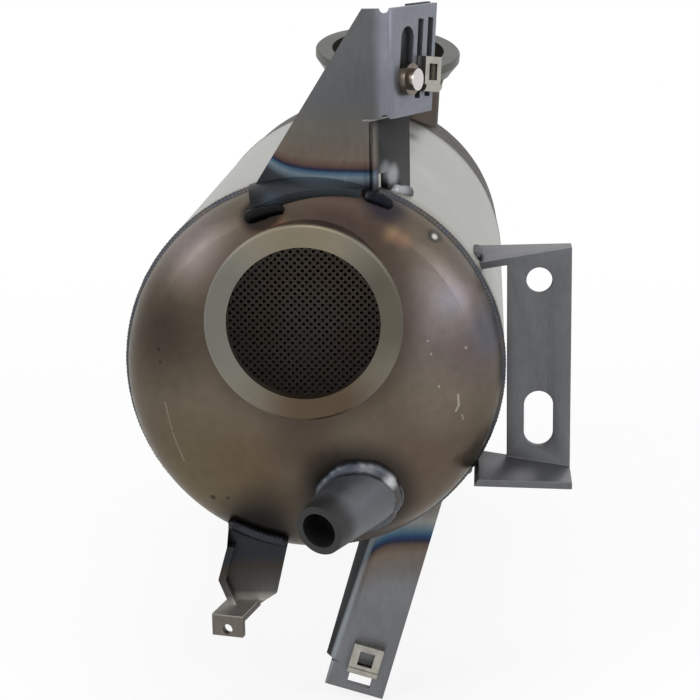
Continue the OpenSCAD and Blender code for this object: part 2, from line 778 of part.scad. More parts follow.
// Foot beads at both ends of the foot and the bead along the lower flange.
module top_bracket_welds() color("#7A8088") at_frame() {
    difference() {
        revolve(foot_to - foot_bead_lap, foot_bead_left) foot_bead(foot_lead(foot_to - foot_bead_lap / 2));
        crown_ball();
        top_foot();
    }
    difference() {
        revolve(foot_from - foot_bead_right, foot_bead_right) foot_bead(foot_lead(foot_from) - foot_bead_back);
        top_column();
    }
    difference() {
        translate([low_corner[0], low_corner[1], 0]) rotate([0, 0, 90 - top_web_yaw]) flange_bead();
        shell_body();
    }
}

// Lead of the foot's front edge at an angle round the can.
function foot_lead(turn) = foot_reach - can_r * cos(turn) * tan(foot_slant);

// Section of a foot bead at its lead: a low mound on the shoulder.
module foot_bead(lead) difference() {
    translate([shoulder_radius(lead), lead]) circle(top_bead_r, $fn = small_fn);
    translate([shoulder_c, shoulder_h]) circle(shoulder_r, $fn = big_fn);
}

// The lower flange with its fold, down to the can axis.
module top_column() top_fold(top_step, flange_set + top_sheet, flange_length, 0, web_bottom, flange_fold_r);

// Straight bead on the flange's outer side, lying on the shell along its rear half.
module flange_bead() difference() {
    fall = atan((shell_z(0.5) - shell_z(1)) / flange_length * 2);
    translate([flange_length / 2, 0, shell_z(0.5)]) rotate([0, 90 + fall, 0])
        cylinder(flange_length / 2, r = top_bead_r, $fn = small_fn);
    translate([0, 0, -far / 2]) cube(far);
}

// Height of the shell under the lower flange, at a share of its length.
function shell_z(share) = sqrt(pow(can_r, 2) - pow(low_corner[0] + share * flange_length * sin(top_web_yaw), 2));

module backing_plate() color("#4A4A4C") at_frame() at_web() difference() {
    translate([0, 0, -top_sheet - backing_sheet]) linear_extrude(backing_sheet) backing_outline();
    at_bolt() translate([0, 0, -far / 2]) cylinder(far, d = bolt_d + 2 * shank_gap, $fn = mid_fn);
}

// Outline of the backing plate on the web: a leaning right edge and a tab that looks over the web.
module backing_outline() {
    low = web_bottom + backing_foot;
    high = top_height + backing_tab;
    left = bolt_along - backing_edge;
    polygon([[left, low], [web_rear(low) - backing_inset, low], [web_rear(high) - backing_inset, high],
             [backing_tab_at, high], [backing_tab_at, top_height - slot_drop], [left, top_height - slot_drop]]);
}

// Place of the web's rear edge at a height.
function web_rear(z) = web_length - (top_height - z) * tan(web_lean);

module slot_bolt() color("#B8B6B0") at_frame() at_web() at_bolt() {
    grip = top_sheet + backing_sheet + nut_h + over;
    translate([0, 0, -grip]) cylinder(grip, d = bolt_d, $fn = mid_fn);
    cylinder(bolt_collar_t, d = bolt_collar_d, $fn = mid_fn);
    cylinder(bolt_collar_t + bolt_head_h, d = bolt_head_d, $fn = mid_fn);
}

module slot_nut() color("#B8B6B0") at_frame() at_web() at_bolt()
    translate([0, 0, -top_sheet - backing_sheet - nut_h]) difference() {
        cylinder(nut_h, d = nut_flats / cos(30), $fn = 6);
        translate([0, 0, -over]) cylinder(nut_h + 2 * over, d = bolt_d, $fn = mid_fn);
    }

// Both clip nuts: one on the web's rear edge, one above the strip's rectangular hole.
module clip_nuts() color("#C9CACA") at_frame() {
    at_web() translate([web_rear(bolt_height + clip_rise) - clip_inset - clip_w / 2, bolt_height + clip_rise, 0])
        rotate(-web_lean) clip_nut();
    at_strip() clip_nut();
}

module right_bracket() color("#5F605F") at_frame() difference() {
    union() {
        upright(right_back + right_sheet, right_sheet) difference() {
            right_outline();
            translate([right_mid(), right_top - right_hole_drop]) circle(right_hole_d / 2, $fn = mid_fn);
            translate([right_mid(), right_slot_lift - right_bottom + right_slot_l / 2]) slot2d(right_slot_w, right_slot_l);
        }
        right_legs();
    }
    shell_body();
    bead_room(far);
}

module right_legs() {
    right_leg(right_top, 1, right_back, upper_leg_in, upper_leg_out);
    right_leg(-right_bottom, -1, right_back + right_sheet, lower_leg_in, lower_leg_out);
}

function right_mid() = can_r + right_gap + right_w / 2;

// Front view of the plate.
module right_outline() {
    a = can_r + right_gap;
    b = a + right_w;
    polygon([[a, -right_bottom], [b, -right_bottom - right_flare], [b, right_top + right_flare], [a, right_top]]);
}

// One sloping leg from its outer face's height at the plate: side 1 runs back, side -1 forward, deeper at the can.
module right_leg(at, side, from, deep, shallow) {
    a = can_r + right_gap;
    b = a + right_w;
    slope = side * right_flare / right_w;
    root = can_r / 2;
    root_deep = deep + (deep - shallow) * (a - root) / right_w;
    intersection() {
        upright(far / 2, far) polygon([[root, at - slope * (a - root)], [b, at + slope * right_w],
            [b, at + slope * right_w - side * right_sheet], [root, at - slope * (a - root) - side * right_sheet]]);
        linear_extrude(far, center = true)
            polygon([[root, from], [b, from], [b, from + side * shallow], [root, from + side * root_deep]]);
    }
}

// Beads along both legs where they meet the shell.
module right_bracket_welds() color("#6C7278") at_frame() difference() {
    union() {
        right_bead(right_top, right_back + right_sheet);
        right_bead(-right_bottom, bead_span + bead_gap);
    }
    shell_body();
    right_legs();
}

// Straight bead on the shell at a leg's outer face.
module right_bead(at, from) translate([sqrt(can_r * can_r - at * at), from, at]) rotate([-90, 0, 0])
    cylinder(right_bead_l, r = bracket_bead_r, $fn = small_fn);

module lower_left_bracket() color("#4B4A46") at_frame() difference() {
    union() {
        upright(-left_lead + left_sheet, left_sheet) left_outline();
        left_edge();
        left_foot();
    }
    revolve() translate([0, left_lead - 2 * left_sheet]) square([left_seat, 4 * left_sheet]);
}

// Front view of the strip: straight shank, bulge on the left, belly on the right and a narrow end.
module left_outline() translate([0, -left_hang]) polygon([[-left_out, left_hang / 2], [-left_out, -left_straight],
    [-left_bulge_out, -left_bulge_drop], [-left_end_out - left_end_w / 2, -left_end_drop],
    [-left_end_out + left_end_w / 2, -left_end_drop], [-left_belly_in, -left_belly_drop],
    [-left_in, -left_straight], [-left_in, left_hang / 2]]);

// Forward lip inside the strip's left edge, from the shank to the end.
module left_edge() upright(-left_lead + left_sheet / 2, left_lip + left_sheet / 2) intersection() {
    difference() {
        left_outline();
        translate([left_sheet, 0]) left_outline();
    }
    translate([-far, -far - left_hang - left_straight]) square(far);
}

// Forward tab under the end with a turned-down front lip and its hole.
module left_foot() translate([-left_end_out, -left_lead + left_sheet, -left_hang - left_end_drop + left_sheet])
    rotate([0, 0, -left_tab_turn]) difference() {
        translate([-left_tab_w / 2, -left_sheet - left_tab, -left_front])
            cube([left_tab_w, left_sheet + left_tab, left_front]);
        translate([-left_tab_w / 2 - over, -left_tab, -left_front - over])
            cube([left_tab_w + 2 * over, left_tab + left_sheet + over, left_front - left_sheet + over]);
        translate([0, 0, -(left_front + left_sheet) / 2]) rotate([90, 0, 0])
            cylinder(far, d = left_hole_d, center = true, $fn = small_fn);
    }

// Bead where the strip stands on the dome.
module lower_left_weld() color("#55524C") at_frame() {
    from = 180 + acos(left_out / left_seat);
    revolve(from, 180 + acos(left_in / left_seat) - from) difference() {
        translate([left_seat, left_lead]) circle(bracket_bead_r, $fn = small_fn);
        translate([left_seat, left_lead - left_sheet]) square(left_sheet);
        dome_profile(0, spigot_length);
    }
}

module lower_right_bracket() color("#6A6C70") at_frame() difference() {
    at_strip() difference() {
        union() {
            translate([0, -clip_h / 2, 0]) rotate([-90, 0, 0]) linear_extrude(low_length + can_r) strip_section();
            translate([low_w / 2 - low_tail_w, -low_tail, -low_sheet]) cube([low_tail_w, low_tail - clip_h / 2, low_sheet]);
        }
        translate([-low_hole_w / 2, -clip_h / 2 - low_hole_h - clip_t, -far / 2]) cube([low_hole_w, low_hole_h, far]);
    }
    shell_body();
    translate([-far / 2, -far / 2, 0]) cube(far);
}

// Section of the strip: flat face with a swept-back flange on its left.
module strip_section() translate([-low_w / 2, 0]) mirror([1, 0]) fold2d(low_w, low_flange_w, low_flange_turn, low_sheet, low_fold_r);

// Bead along the strip's top, on the shell.
module lower_right_weld() color("#5F6A78") at_frame() difference() {
    revolve(low_turn - low_bead_span / 2, low_bead_span)
        translate([can_r, -low_back - low_sheet] + bracket_bead_r / 3 * [1, -1]) circle(bracket_bead_r, $fn = small_fn);
    shell_body();
    upright(low_back + low_sheet, low_sheet) square(far, center = true);
}

shell();
monolith();
mat();
front_seal();
rear_seal();
inlet_cap();
inlet_ring();
inlet_ring_weld();
outlet_cap();
outlet_ring();
outlet_ring_weld();
front_seam_weld();
rear_seam_weld();
sensor_boss();
boss_weld();
top_bracket();
top_bracket_welds();
backing_plate();
slot_bolt();
slot_nut();
clip_nuts();
right_bracket();
right_bracket_welds();
lower_left_bracket();
lower_left_weld();
lower_right_bracket();
lower_right_weld();
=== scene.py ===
"""Dresses a packed diesel particulate filter: heat-tinted steel, weld beads and the fine honeycomb."""

import math

import bmesh
import bpy
from mathutils import Matrix, Vector


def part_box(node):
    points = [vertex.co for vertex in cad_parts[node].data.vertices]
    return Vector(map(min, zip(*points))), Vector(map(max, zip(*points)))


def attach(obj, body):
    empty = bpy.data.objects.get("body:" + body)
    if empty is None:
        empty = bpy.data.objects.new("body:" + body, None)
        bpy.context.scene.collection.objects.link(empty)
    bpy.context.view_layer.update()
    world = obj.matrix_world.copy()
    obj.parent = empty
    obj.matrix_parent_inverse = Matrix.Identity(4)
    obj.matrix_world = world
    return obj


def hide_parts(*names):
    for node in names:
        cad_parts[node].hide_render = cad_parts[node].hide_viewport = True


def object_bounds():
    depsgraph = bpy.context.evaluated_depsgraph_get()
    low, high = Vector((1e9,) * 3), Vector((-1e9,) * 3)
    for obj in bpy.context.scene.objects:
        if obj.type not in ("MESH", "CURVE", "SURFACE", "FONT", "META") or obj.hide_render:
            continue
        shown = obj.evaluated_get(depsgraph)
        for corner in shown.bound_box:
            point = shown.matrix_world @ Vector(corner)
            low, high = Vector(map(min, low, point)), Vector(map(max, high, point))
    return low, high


bl_info = {
    "name": "Diesel particulate filter",
    "version": (1, 0, 0),
    "blender": (4, 5, 0),
    "location": "3D View > Sidebar > Filter",
    "description": "Dresses a diesel particulate filter with finishes, weld beads and its honeycomb",
    "category": "Object",
}

MM = 0.001
BODY = "root"

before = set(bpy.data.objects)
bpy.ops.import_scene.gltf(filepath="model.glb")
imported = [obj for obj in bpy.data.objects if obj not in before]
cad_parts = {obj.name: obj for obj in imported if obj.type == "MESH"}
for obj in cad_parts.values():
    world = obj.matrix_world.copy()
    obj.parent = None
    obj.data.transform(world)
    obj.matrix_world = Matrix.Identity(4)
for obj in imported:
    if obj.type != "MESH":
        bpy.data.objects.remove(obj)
CAD_BOX = [list(corner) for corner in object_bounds()]

# The can, in millimetres in the row frame: its radius, the height of its axis and the places of its seams
SHELL_LOW, SHELL_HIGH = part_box("shell")
CAN_RADIUS = (SHELL_HIGH.x - SHELL_LOW.x) / 2 / MM
CAN_HEIGHT = ((SHELL_LOW + SHELL_HIGH) / 2).z / MM
CAN_AXIS = Vector((0, -1, 0))
FRONT_SEAM = SHELL_LOW.y / MM
REAR_SEAM = SHELL_HIGH.y / MM

# The outlet ring's face and the sensor boss, in millimetres in the row frame
OUTLET_FACE = Vector((17.8, 311, 76.9))
OUTLET_AXIS = Vector((0.06797, -0.22495, 0.972))
RING_DEPTH = 9
OUTLET_NECK = OUTLET_FACE - OUTLET_AXIS * RING_DEPTH
RING_BEAD_RADIUS = 32.6
BOSS_MOUTH = (4.9, -6.2, -80.5)
BOSS_ROOT = Vector((18.3, 20.15, -75.5))
BOSS_NORMAL = Vector((0.122, -0.940, -0.319))

# Direction that the top bracket's web faces
WEB_NORMAL = (0.891, -0.454, 0.0)

# Direction across the lower right strip, along which its fold stays at one place
STRIP_ACROSS = (1, 0, -0.333)


def linear(code):
    """Turns an sRGB hex colour into linear RGBA."""
    parts = [int(code[i : i + 2], 16) / 255 for i in (1, 3, 5)]
    return tuple(c / 12.92 if c <= 0.04045 else ((c + 0.055) / 1.055) ** 2.4 for c in parts) + (1.0,)


def colour(label, words, code):
    """A colour that the user can change, given as an sRGB hex value."""
    return bpy.props.FloatVectorProperty(
        name=label, description=words, default=linear(code), size=4, min=0, max=1, subtype="COLOR"
    )


def length(label, words, millimetres):
    """A length that the user can change, given in millimetres and kept in metres."""
    return bpy.props.FloatProperty(
        name=label, description=words, default=millimetres * MM, min=0, unit="LENGTH", precision=5
    )


class FilterSizes(bpy.types.PropertyGroup):
    """Sizes of what is added to the solids."""

    cell_pitch: length("Cell pitch", "Distance between neighbouring cells of the ceramic block", 1.6)
    cell_wall: length("Cell wall", "Thickness of the wall between two cells", 0.4)
    cell_depth: length("Cell depth", "Depth to which an open cell is shown", 5)
    block_skin: length("Block skin", "Solid skin left round the cells", 2)
    ripple: length("Weld ripple", "Distance between the ripples of a bead", 1.6)
    lump: length("Weld lump", "Distance between the lumps of hand-laid beads", 3.6)
    edge: length("Edge round", "Radius of the broken edges of sheet pieces", 0.35)


class FilterColours(bpy.types.PropertyGroup):
    """Main colours of the finishes."""

    barrel: colour("Barrel", "Bare satin stainless", "#B7B7B4")
    cap: colour("Cap", "Heat-tinted stainless, away from the welds", "#645A4C")
    outlet: colour("Outlet", "Heat-tinted stainless of the outlet cap", "#5B5751")
    ring: colour("Ring", "Turned stainless of the inlet ring", "#817D71")
    rear_ring: colour("Rear ring", "Turned stainless of the outlet ring", "#5B5D57")
    bracket: colour("Bracket", "Bracket steel", "#68696C")
    backing: colour("Backing plate", "Steel of the plate behind the web", "#3C3D3D")
    weld: colour("Weld", "Weld metal", "#4C4D50")
    boss_weld: colour("Boss weld", "Weld metal round the sensor boss", "#52565E")
    sooty_weld: colour("Sooty weld", "Weld metal of the lower left strip", "#252525")
    boss: colour("Boss", "Scaled steel of the sensor boss", "#64676B")
    plated: colour("Plated", "Bright plating of clip nuts and nut", "#A8A59C")
    bolt: colour("Bolt", "Worn plating of the slot bolt", "#7D746A")
    block: colour("Block", "Sooty ceramic", "#8C847B")


# Nodes


def add(tree, kind, sockets=None, stops=None, **settings):
    """Adds one node with its settings, its input values or links, and its colour stops."""
    made = tree.nodes.new(kind)
    for name, value in settings.items():
        setattr(made, name, value)
    for name, value in (sockets or {}).items():
        socket = made.inputs[name]
        if isinstance(value, bpy.types.NodeSocket):
            tree.links.new(value, socket)
        elif socket.type == "VECTOR":
            socket.default_value = value[:3]
        else:
            socket.default_value = value
    if stops:
        ramp = made.color_ramp.elements
        ramp.remove(ramp[1])
        for index, (place, code) in enumerate(stops):
            element = ramp.new(place) if index else ramp[0]
            element.position = place
            element.color = linear(code)
    return made


def new_finish(name, metallic=1.0):
    """A new material: its node tree, its shader and the place on the piece in millimetres."""
    made = bpy.data.materials.new(name)
    made.use_nodes = True
    tree = made.node_tree
    tree.nodes.clear()
    shader = add(tree, "ShaderNodeBsdfPrincipled", {"Metallic": metallic})
    add(tree, "ShaderNodeOutputMaterial", {"Surface": shader.outputs[0]})
    place = add(tree, "ShaderNodeTexCoord").outputs["Object"]
    scaled = add(tree, "ShaderNodeVectorMath", {0: place, "Scale": 1 / MM}, operation="SCALE")
    return made, tree, shader, scaled.outputs[0]


def fade(tree, value, near, far):
    """A mask that is 1 up to near and falls smoothly to 0 at far."""
    node = add(
        tree,
        "ShaderNodeMapRange",
        {"Value": value, "From Min": near, "From Max": far, "To Min": 1.0, "To Max": 0.0},
        interpolation_type="SMOOTHSTEP",
    )
    return node.outputs["Result"]


def spot(tree, mm, at, near, far):
    """A soft round mask about a point in millimetres."""
    gap = add(tree, "ShaderNodeVectorMath", {0: mm, 1: at}, operation="DISTANCE")
    return fade(tree, gap.outputs["Value"], near, far)


def scratch(tree, mm, start, end, width):
    """A thin mask along a straight line between two points in millimetres."""
    a, b = Vector(start), Vector(end)
    run = b - a
    offset = add(tree, "ShaderNodeVectorMath", {0: mm, 1: a}, operation="SUBTRACT").outputs[0]
    along = reach(tree, offset, run / run.length_squared)
    held = add(tree, "ShaderNodeClamp", {0: along}).outputs[0]
    foot = add(tree, "ShaderNodeVectorMath", {0: run, "Scale": held}, operation="SCALE").outputs[0]
    gap = add(tree, "ShaderNodeVectorMath", {0: offset, 1: foot}, operation="DISTANCE").outputs["Value"]
    return fade(tree, gap, width / 2, width)


def cloud(tree, mm, size, detail=3.0, shape=(1, 1, 1)):
    """Soft noise whose blotches are about size millimetres across, stretched by shape."""
    moved = add(tree, "ShaderNodeMapping", {"Vector": mm, "Scale": [1 / (size * s) for s in shape]})
    node = add(tree, "ShaderNodeTexNoise", {"Vector": moved.outputs[0], "Scale": 1.0, "Detail": detail})
    return node.outputs["Fac"]


def over(tree, under, mask, top, amount=1.0):
    """Lays a colour over another through a mask."""
    if amount != 1.0:
        mask = add(tree, "ShaderNodeMath", {0: mask, 1: amount}, operation="MULTIPLY").outputs[0]
    if isinstance(top, str):
        top = linear(top)
    return add(tree, "ShaderNodeMix", {0: mask, 6: under, 7: top}, data_type="RGBA").outputs[2]


def grain(tree, base, noise, low, high):
    """Makes a colour lighter and darker by a noise."""
    sockets = {0: base, "Scale": levelled(tree, noise, low, high)}
    return add(tree, "ShaderNodeVectorMath", sockets, operation="SCALE").outputs[0]


# The part of its range in which a noise mostly lies, and its middle
NOISE_LOW = 0.3
NOISE_HIGH = 0.7
NOISE_MIDDLE = 0.5


def levelled(tree, noise, low, high):
    """Spreads the middle of a noise over a range of values."""
    sockets = {"Value": noise, "From Min": NOISE_LOW, "From Max": NOISE_HIGH, "To Min": low, "To Max": high}
    return add(tree, "ShaderNodeMapRange", sockets).outputs[0]


def bump(tree, shader, height, depth):
    """Raises the surface by a height field, depth in millimetres."""
    node = add(tree, "ShaderNodeBump", {"Strength": 1.0, "Distance": depth * MM, "Height": height})
    tree.links.new(node.outputs[0], shader.inputs["Normal"])


def spots(tree, mm, base, rows):
    """Lays round tints over a colour: middle, inner and outer radius, colour and amount."""
    for at, near, far, code, amount in rows:
        base = over(tree, base, spot(tree, mm, at, near, far), code, amount)
    return base


def bands(tree, value, stops):
    """Colours along a distance in millimetres, as steel shows them beside a weld."""
    low, high = stops[0][0], stops[-1][0]
    share = add(tree, "ShaderNodeMapRange", {"Value": value, "From Min": low, "From Max": high}).outputs[0]
    placed = [((at - low) / (high - low), code) for at, code in stops]
    return add(tree, "ShaderNodeValToRGB", {0: share}, placed).outputs[0]


# Largest power of a dip, so that it stays level before its start
DIP_LIMIT = 0.3


def dipped(tree, mm, side, depth, start, width):
    """Height of a point, changed by depth where side is at start and less and less beyond it."""
    height = add(tree, "ShaderNodeSeparateXYZ", {0: mm}).outputs["Z"]
    sockets = {0: side, 1: -1 / width, 2: start / width}
    power = add(tree, "ShaderNodeMath", sockets, operation="MULTIPLY_ADD").outputs[0]
    held = add(tree, "ShaderNodeMath", {0: power, 1: DIP_LIMIT}, operation="MINIMUM").outputs[0]
    grown = add(tree, "ShaderNodeMath", {0: held}, operation="EXPONENT").outputs[0]
    return add(tree, "ShaderNodeMath", {0: grown, 1: depth, 2: height}, operation="MULTIPLY_ADD").outputs[0]


def reach(tree, mm, direction):
    """How far a point lies along a direction, in millimetres from the origin."""
    node = add(tree, "ShaderNodeVectorMath", {0: mm, 1: direction}, operation="DOT_PRODUCT")
    return node.outputs["Value"]


def from_axis(tree, mm):
    """How far a point lies from the inlet's axis, in millimetres."""
    flat = add(tree, "ShaderNodeVectorMath", {0: mm, 1: (1, 0, 1)}, operation="MULTIPLY").outputs[0]
    return add(tree, "ShaderNodeVectorMath", {0: flat}, operation="LENGTH").outputs["Value"]


def finish_shader(tree, shader, base, roughness):
    """Sends the colour and the roughness, a number or a socket, to the shader."""
    tree.links.new(base, shader.inputs["Base Color"])
    if isinstance(roughness, bpy.types.NodeSocket):
        tree.links.new(roughness, shader.inputs["Roughness"])
    else:
        shader.inputs["Roughness"].default_value = roughness


# Finishes


def satin_barrel(colours):
    """Cold-rolled stainless sheet: fine streaks round the can, pale stains, a warm tint at the seams."""
    made, tree, shader, mm = new_finish("satin_stainless")
    shader.inputs["Specular Tint"].default_value = linear("#E2E2E0")
    depth = add(tree, "ShaderNodeSeparateXYZ", {0: mm}).outputs["Y"]
    streak = cloud(tree, mm, 1.2, 4.0, (18, 0.35, 18))
    stain = cloud(tree, mm, 34)
    base = grain(tree, colours.barrel, streak, 0.88, 1.08)
    base = grain(tree, base, stain, 0.88, 1.06)
    base = over(tree, base, fade(tree, depth, FRONT_SEAM + 2, FRONT_SEAM + 16), "#8F8A7C", 0.7)
    base = over(tree, base, fade(tree, depth, REAR_SEAM - 2, REAR_SEAM - 12), "#7C766A", 0.7)
    finish_shader(tree, shader, base, levelled(tree, stain, 0.3, 0.46))
    bump(tree, shader, streak, 0.03)
    return made


def tinted_outlet(colours):
    """Pressed stainless behind the block, tinted an even grey brown by the cooler gas."""
    made, tree, shader, mm = new_finish("grey_tinted_stainless", 0.8)
    shader.inputs["Specular Tint"].default_value = linear("#A8A8A8")
    broad = cloud(tree, mm, 40, 2.0)
    fine = cloud(tree, mm, 4.5, 5.0)
    depth = add(tree, "ShaderNodeSeparateXYZ", {0: mm}).outputs["Y"]
    base = grain(tree, colours.outlet, broad, 0.84, 1.14)
    base = over(tree, base, fade(tree, depth, REAR_SEAM + 3, REAR_SEAM + 14), "#4A3F38", 0.7)
    base = over(tree, base, spot(tree, mm, OUTLET_NECK, 30, 46), "#5C4C46", 0.6)
    base = grain(tree, base, fine, 0.9, 1.1)
    finish_shader(tree, shader, base, levelled(tree, fine, 0.32, 0.48))
    bump(tree, shader, broad, 0.1)
    return made


# Tints, here and below: middle, inner and outer radius in millimetres, colour, amount

# Broad heat tint of the cap, with painted reflections of the lamps in lilac grey at the right and the upper
# left, and painted shade at the left and below the ring
CAP_TINTS_AND_SHADING = (
    # Painted reflection of a lamp at the right
    ((55, 27, -5), 4, 42, "#746A68", 0.9),
    ((52, 24, 4), 0, 20, "#8F8786", 0.6),
    # Painted reflection of a lamp at the upper left
    ((-46.7, 30, 25), 2, 26, "#7C7270", 0.9),
    # Painted shade at the left
    ((-57, 24, -8), 2, 34, "#372F27", 0.9),
    ((-45, 24, -70), 4, 40, "#655A44", 0.8),
    ((-24, 18, -63), 2, 30, "#5E4E3A", 0.7),
    ((17, 27, 37), 4, 34, "#55433C", 0.8),
    ((43, 21, -60), 4, 36, "#5F5044", 0.8),
    ((63, 25, -20), 2, 20, "#625654", 0.7),
    # Painted shade below the ring
    ((-3, 13.5, -50), 4, 22, "#4B3C34", 0.7),
    ((-16, 20, -77), 4, 18, "#43392E", 0.6),
    ((51, 20, -36), 3, 22, "#776D60", 0.6),
    ((70.8, 33.2, -10.1), 3, 16, "#585C68", 0.7),
)

# Orange glints beside the ring, heat tint with painted highlights; a painted pale lilac reflection at the
# right; painted shade round the dimple's edge and a painted highlight in its hollow; soot beside the cap's
# welds
CAP_SCORCH_AND_GLINTS = (
    # Orange glints beside the ring: heat tint with painted highlights
    ((-14.3, 24, 32.7), 0, 9, "#9C6B4A", 0.75),
    ((33, 26, 30), 0, 5.5, "#94795A", 0.6),
    ((37, 27, 27), 0, 5, "#94705A", 0.5),
    # Painted pale lilac reflection at the right
    ((56.2, 25.5, 3.9), 1, 10, "#8A8A96", 0.5),
    ((61.4, 29.3, 5.7), 0, 6, "#8E7F80", 0.5),
    # Painted shade round the dimple's edge and a painted highlight in its hollow
    ((49.1, 35.5, 26.9), 2.4, 4.2, "#3A3633", 0.8),
    ((49.1, 35.5, 26.9), 0.4, 1.8, "#C8C5C0", 0.9),
    # Soot beside the welds
    ((18.3, 20, -75.5), 17, 30, "#242120", 0.85),
    ((-22, 27, -92), 6, 26, "#1C1B1B", 0.95),
    ((-18, 27, 38.3), 6, 11, "#1E1917", 0.95),
    ((30, 34, 40), 4, 13, "#22202A", 0.9),
)

# Weld spatter on the cap: dark drops at the left, pale specks at the right
CAP_SPATTER = (
    ((-40.6, 25.7, -77.5), 0.7, 1.5, "#2A2622", 0.8),
    ((-34.3, 23.8, -77.3), 0.5, 1.1, "#2A2622", 0.7),
    ((-60, 24.1, -15.6), 0.5, 1.1, "#25211D", 0.7),
    ((-59.5, 23.5, -20.8), 0.4, 1, "#25211D", 0.6),
    ((61.4, 24.7, -15.2), 0.3, 0.7, "#B4ACA0", 0.7),
    ((50.9, 19.9, -29.7), 0.3, 0.7, "#B4ACA0", 0.6),
    ((47.9, 19.3, -16.4), 0.3, 0.6, "#B4ACA0", 0.6),
    ((46.6, 19.4, -11.2), 0.3, 0.6, "#B4ACA0", 0.6),
)

# Scratches on the cap: start, end, width and colour
SCRATCH_AMOUNT = 0.7
CAP_SCRATCHES = (
    ((-58.1, 23.1, -37.1), (-55.8, 23.5, -48.7), 0.4, "#877F70"),
    ((-55.6, 23.6, -50), (-51.6, 24.5, -62), 0.4, "#877F70"),
    ((58.3, 23.0, -33.9), (58.6, 23.2, -38.1), 0.6, "#B0A89B"),
    ((58.6, 23.2, -38.1), (57.4, 23.0, -40.5), 0.5, "#B0A89B"),
    ((59.8, 24.3, -42.5), (60.4, 24.5, -44.5), 0.5, "#9A8E82"),
)


def tinted_cap(colours):
    """Deep-drawn stainless under an oxide film: olive and brown, straw and purple near the welds, with
    painted reflections, painted shade and painted glints laid over it.
    """
    made, tree, shader, mm = new_finish("heat_tinted_stainless", 0.8)
    broad = cloud(tree, mm, 46, 2.0)
    fine = cloud(tree, mm, 4.5, 5.0)
    base = grain(tree, colours.cap, broad, 0.84, 1.12)
    base = spots(tree, mm, base, CAP_TINTS_AND_SHADING)
    # Darker reddish ring round the neck: heat tint and painted shade beside the ring
    base = over(tree, base, fade(tree, from_axis(tree, mm), 37, 50), "#41342F", 0.6)
    base = spots(tree, mm, base, CAP_SCORCH_AND_GLINTS)
    base = grain(tree, base, fine, 0.9, 1.1)
    base = spots(tree, mm, base, CAP_SPATTER)
    for start, end, width, code in CAP_SCRATCHES:
        base = over(tree, base, scratch(tree, mm, start, end, width), code, SCRATCH_AMOUNT)
    finish_shader(tree, shader, base, levelled(tree, fine, 0.36, 0.5))
    bump(tree, shader, broad, 0.12)
    return made


# Tints round the inlet ring: pale at the left, straw at the top, brown at the right and the bottom
RING_TINTS = (
    ((-33, 0, 4), 8, 40, "#71716A", 0.8),
    ((0, 0, 34), 6, 30, "#857B67", 0.8),
    ((34, 0, 6), 8, 36, "#59544A", 0.9),
    ((6, 0, -34), 8, 38, "#574838", 0.95),
)


def turned_ring(name, ring_colour, tints=()):
    """Turned stainless: fine rings of the tool on the face, with straw and brown heat tint."""
    made, tree, shader, mm = new_finish(name, 0.9)
    sockets = {"W": from_axis(tree, mm), "Scale": 1.6, "Detail": 3.0}
    rings = add(tree, "ShaderNodeTexNoise", sockets, noise_dimensions="1D").outputs["Fac"]
    wander = cloud(tree, mm, 22)
    base = grain(tree, ring_colour, rings, 0.92, 1.06)
    base = spots(tree, mm, base, tints)
    base = grain(tree, base, wander, 0.9, 1.08)
    finish_shader(tree, shader, base, levelled(tree, wander, 0.32, 0.46))
    bump(tree, shader, rings, 0.02)
    return made


# Soot on the foot's beads with a blue shine, and the bright bead of the flange
TOP_BEAD_TINTS = (
    ((-17, 28, 40), 10, 20, "#141415", 1.0),
    ((-14.3, 29.5, 41.6), 0.5, 4, "#3A4654", 0.8),
    ((30, 36, 41), 6, 14, "#171A22", 1.0),
    ((33, 53, 45), 4, 12, "#A9ABAD", 0.9),
)

# Painted highlights on the bead of the sensor boss
BOSS_BEAD_GLINTS = (
    ((31, 17, -68), 1, 5, "#C4C6C8", 0.9),
    ((22, 14, -62), 1, 6, "#84868C", 0.8),
)


def weld_metal(name, weld_colour, tints=()):
    """Fused steel: a dark oxide skin, faintly blue and brown in patches."""
    made, tree, shader, mm = new_finish(name, 0.9)
    broad = cloud(tree, mm, 14)
    fine = cloud(tree, mm, 1.4, 4.0)
    base = over(tree, weld_colour, fade(tree, broad, 0.4, 0.55), "#3C4048", 0.6)
    base = over(tree, base, fade(tree, broad, 0.62, 0.52), "#564E47", 0.6)
    base = spots(tree, mm, base, tints)
    base = grain(tree, base, fine, 0.88, 1.12)
    finish_shader(tree, shader, base, levelled(tree, fine, 0.34, 0.5))
    bump(tree, shader, fine, 0.05)
    return made


def scaled_steel(colours):
    """Forged steel with a thin dark scale, satin to the touch, darkest round the mouth."""
    made, tree, shader, mm = new_finish("scaled_steel", 0.7)
    broad = cloud(tree, mm, 12)
    fine = cloud(tree, mm, 1.1, 4.0)
    base = grain(tree, colours.boss, broad, 0.86, 1.12)
    base = over(tree, base, spot(tree, mm, BOSS_MOUTH, 11, 17), "#302E2E", 0.85)
    base = grain(tree, base, fine, 0.92, 1.08)
    finish_shader(tree, shader, base, levelled(tree, broad, 0.42, 0.58))
    bump(tree, shader, fine, 0.03)
    return made


def bracket_steel(name, plain_colour, tint=None):
    """Pressed bracket steel: grey mill skin with faint marks, tinted by the heat of its welds, with painted
    light and shade where the tint function lays them.
    """
    made, tree, shader, mm = new_finish(name, 0.8)
    broad = cloud(tree, mm, 26)
    fine = cloud(tree, mm, 1.6, 4.0, (1, 1, 3))
    base = tint(tree, mm) if tint else plain_colour
    base = grain(tree, base, broad, 0.88, 1.1)
    base = grain(tree, base, fine, 0.94, 1.06)
    finish_shader(tree, shader, base, levelled(tree, broad, 0.38, 0.52))
    bump(tree, shader, fine, 0.02)
    return made


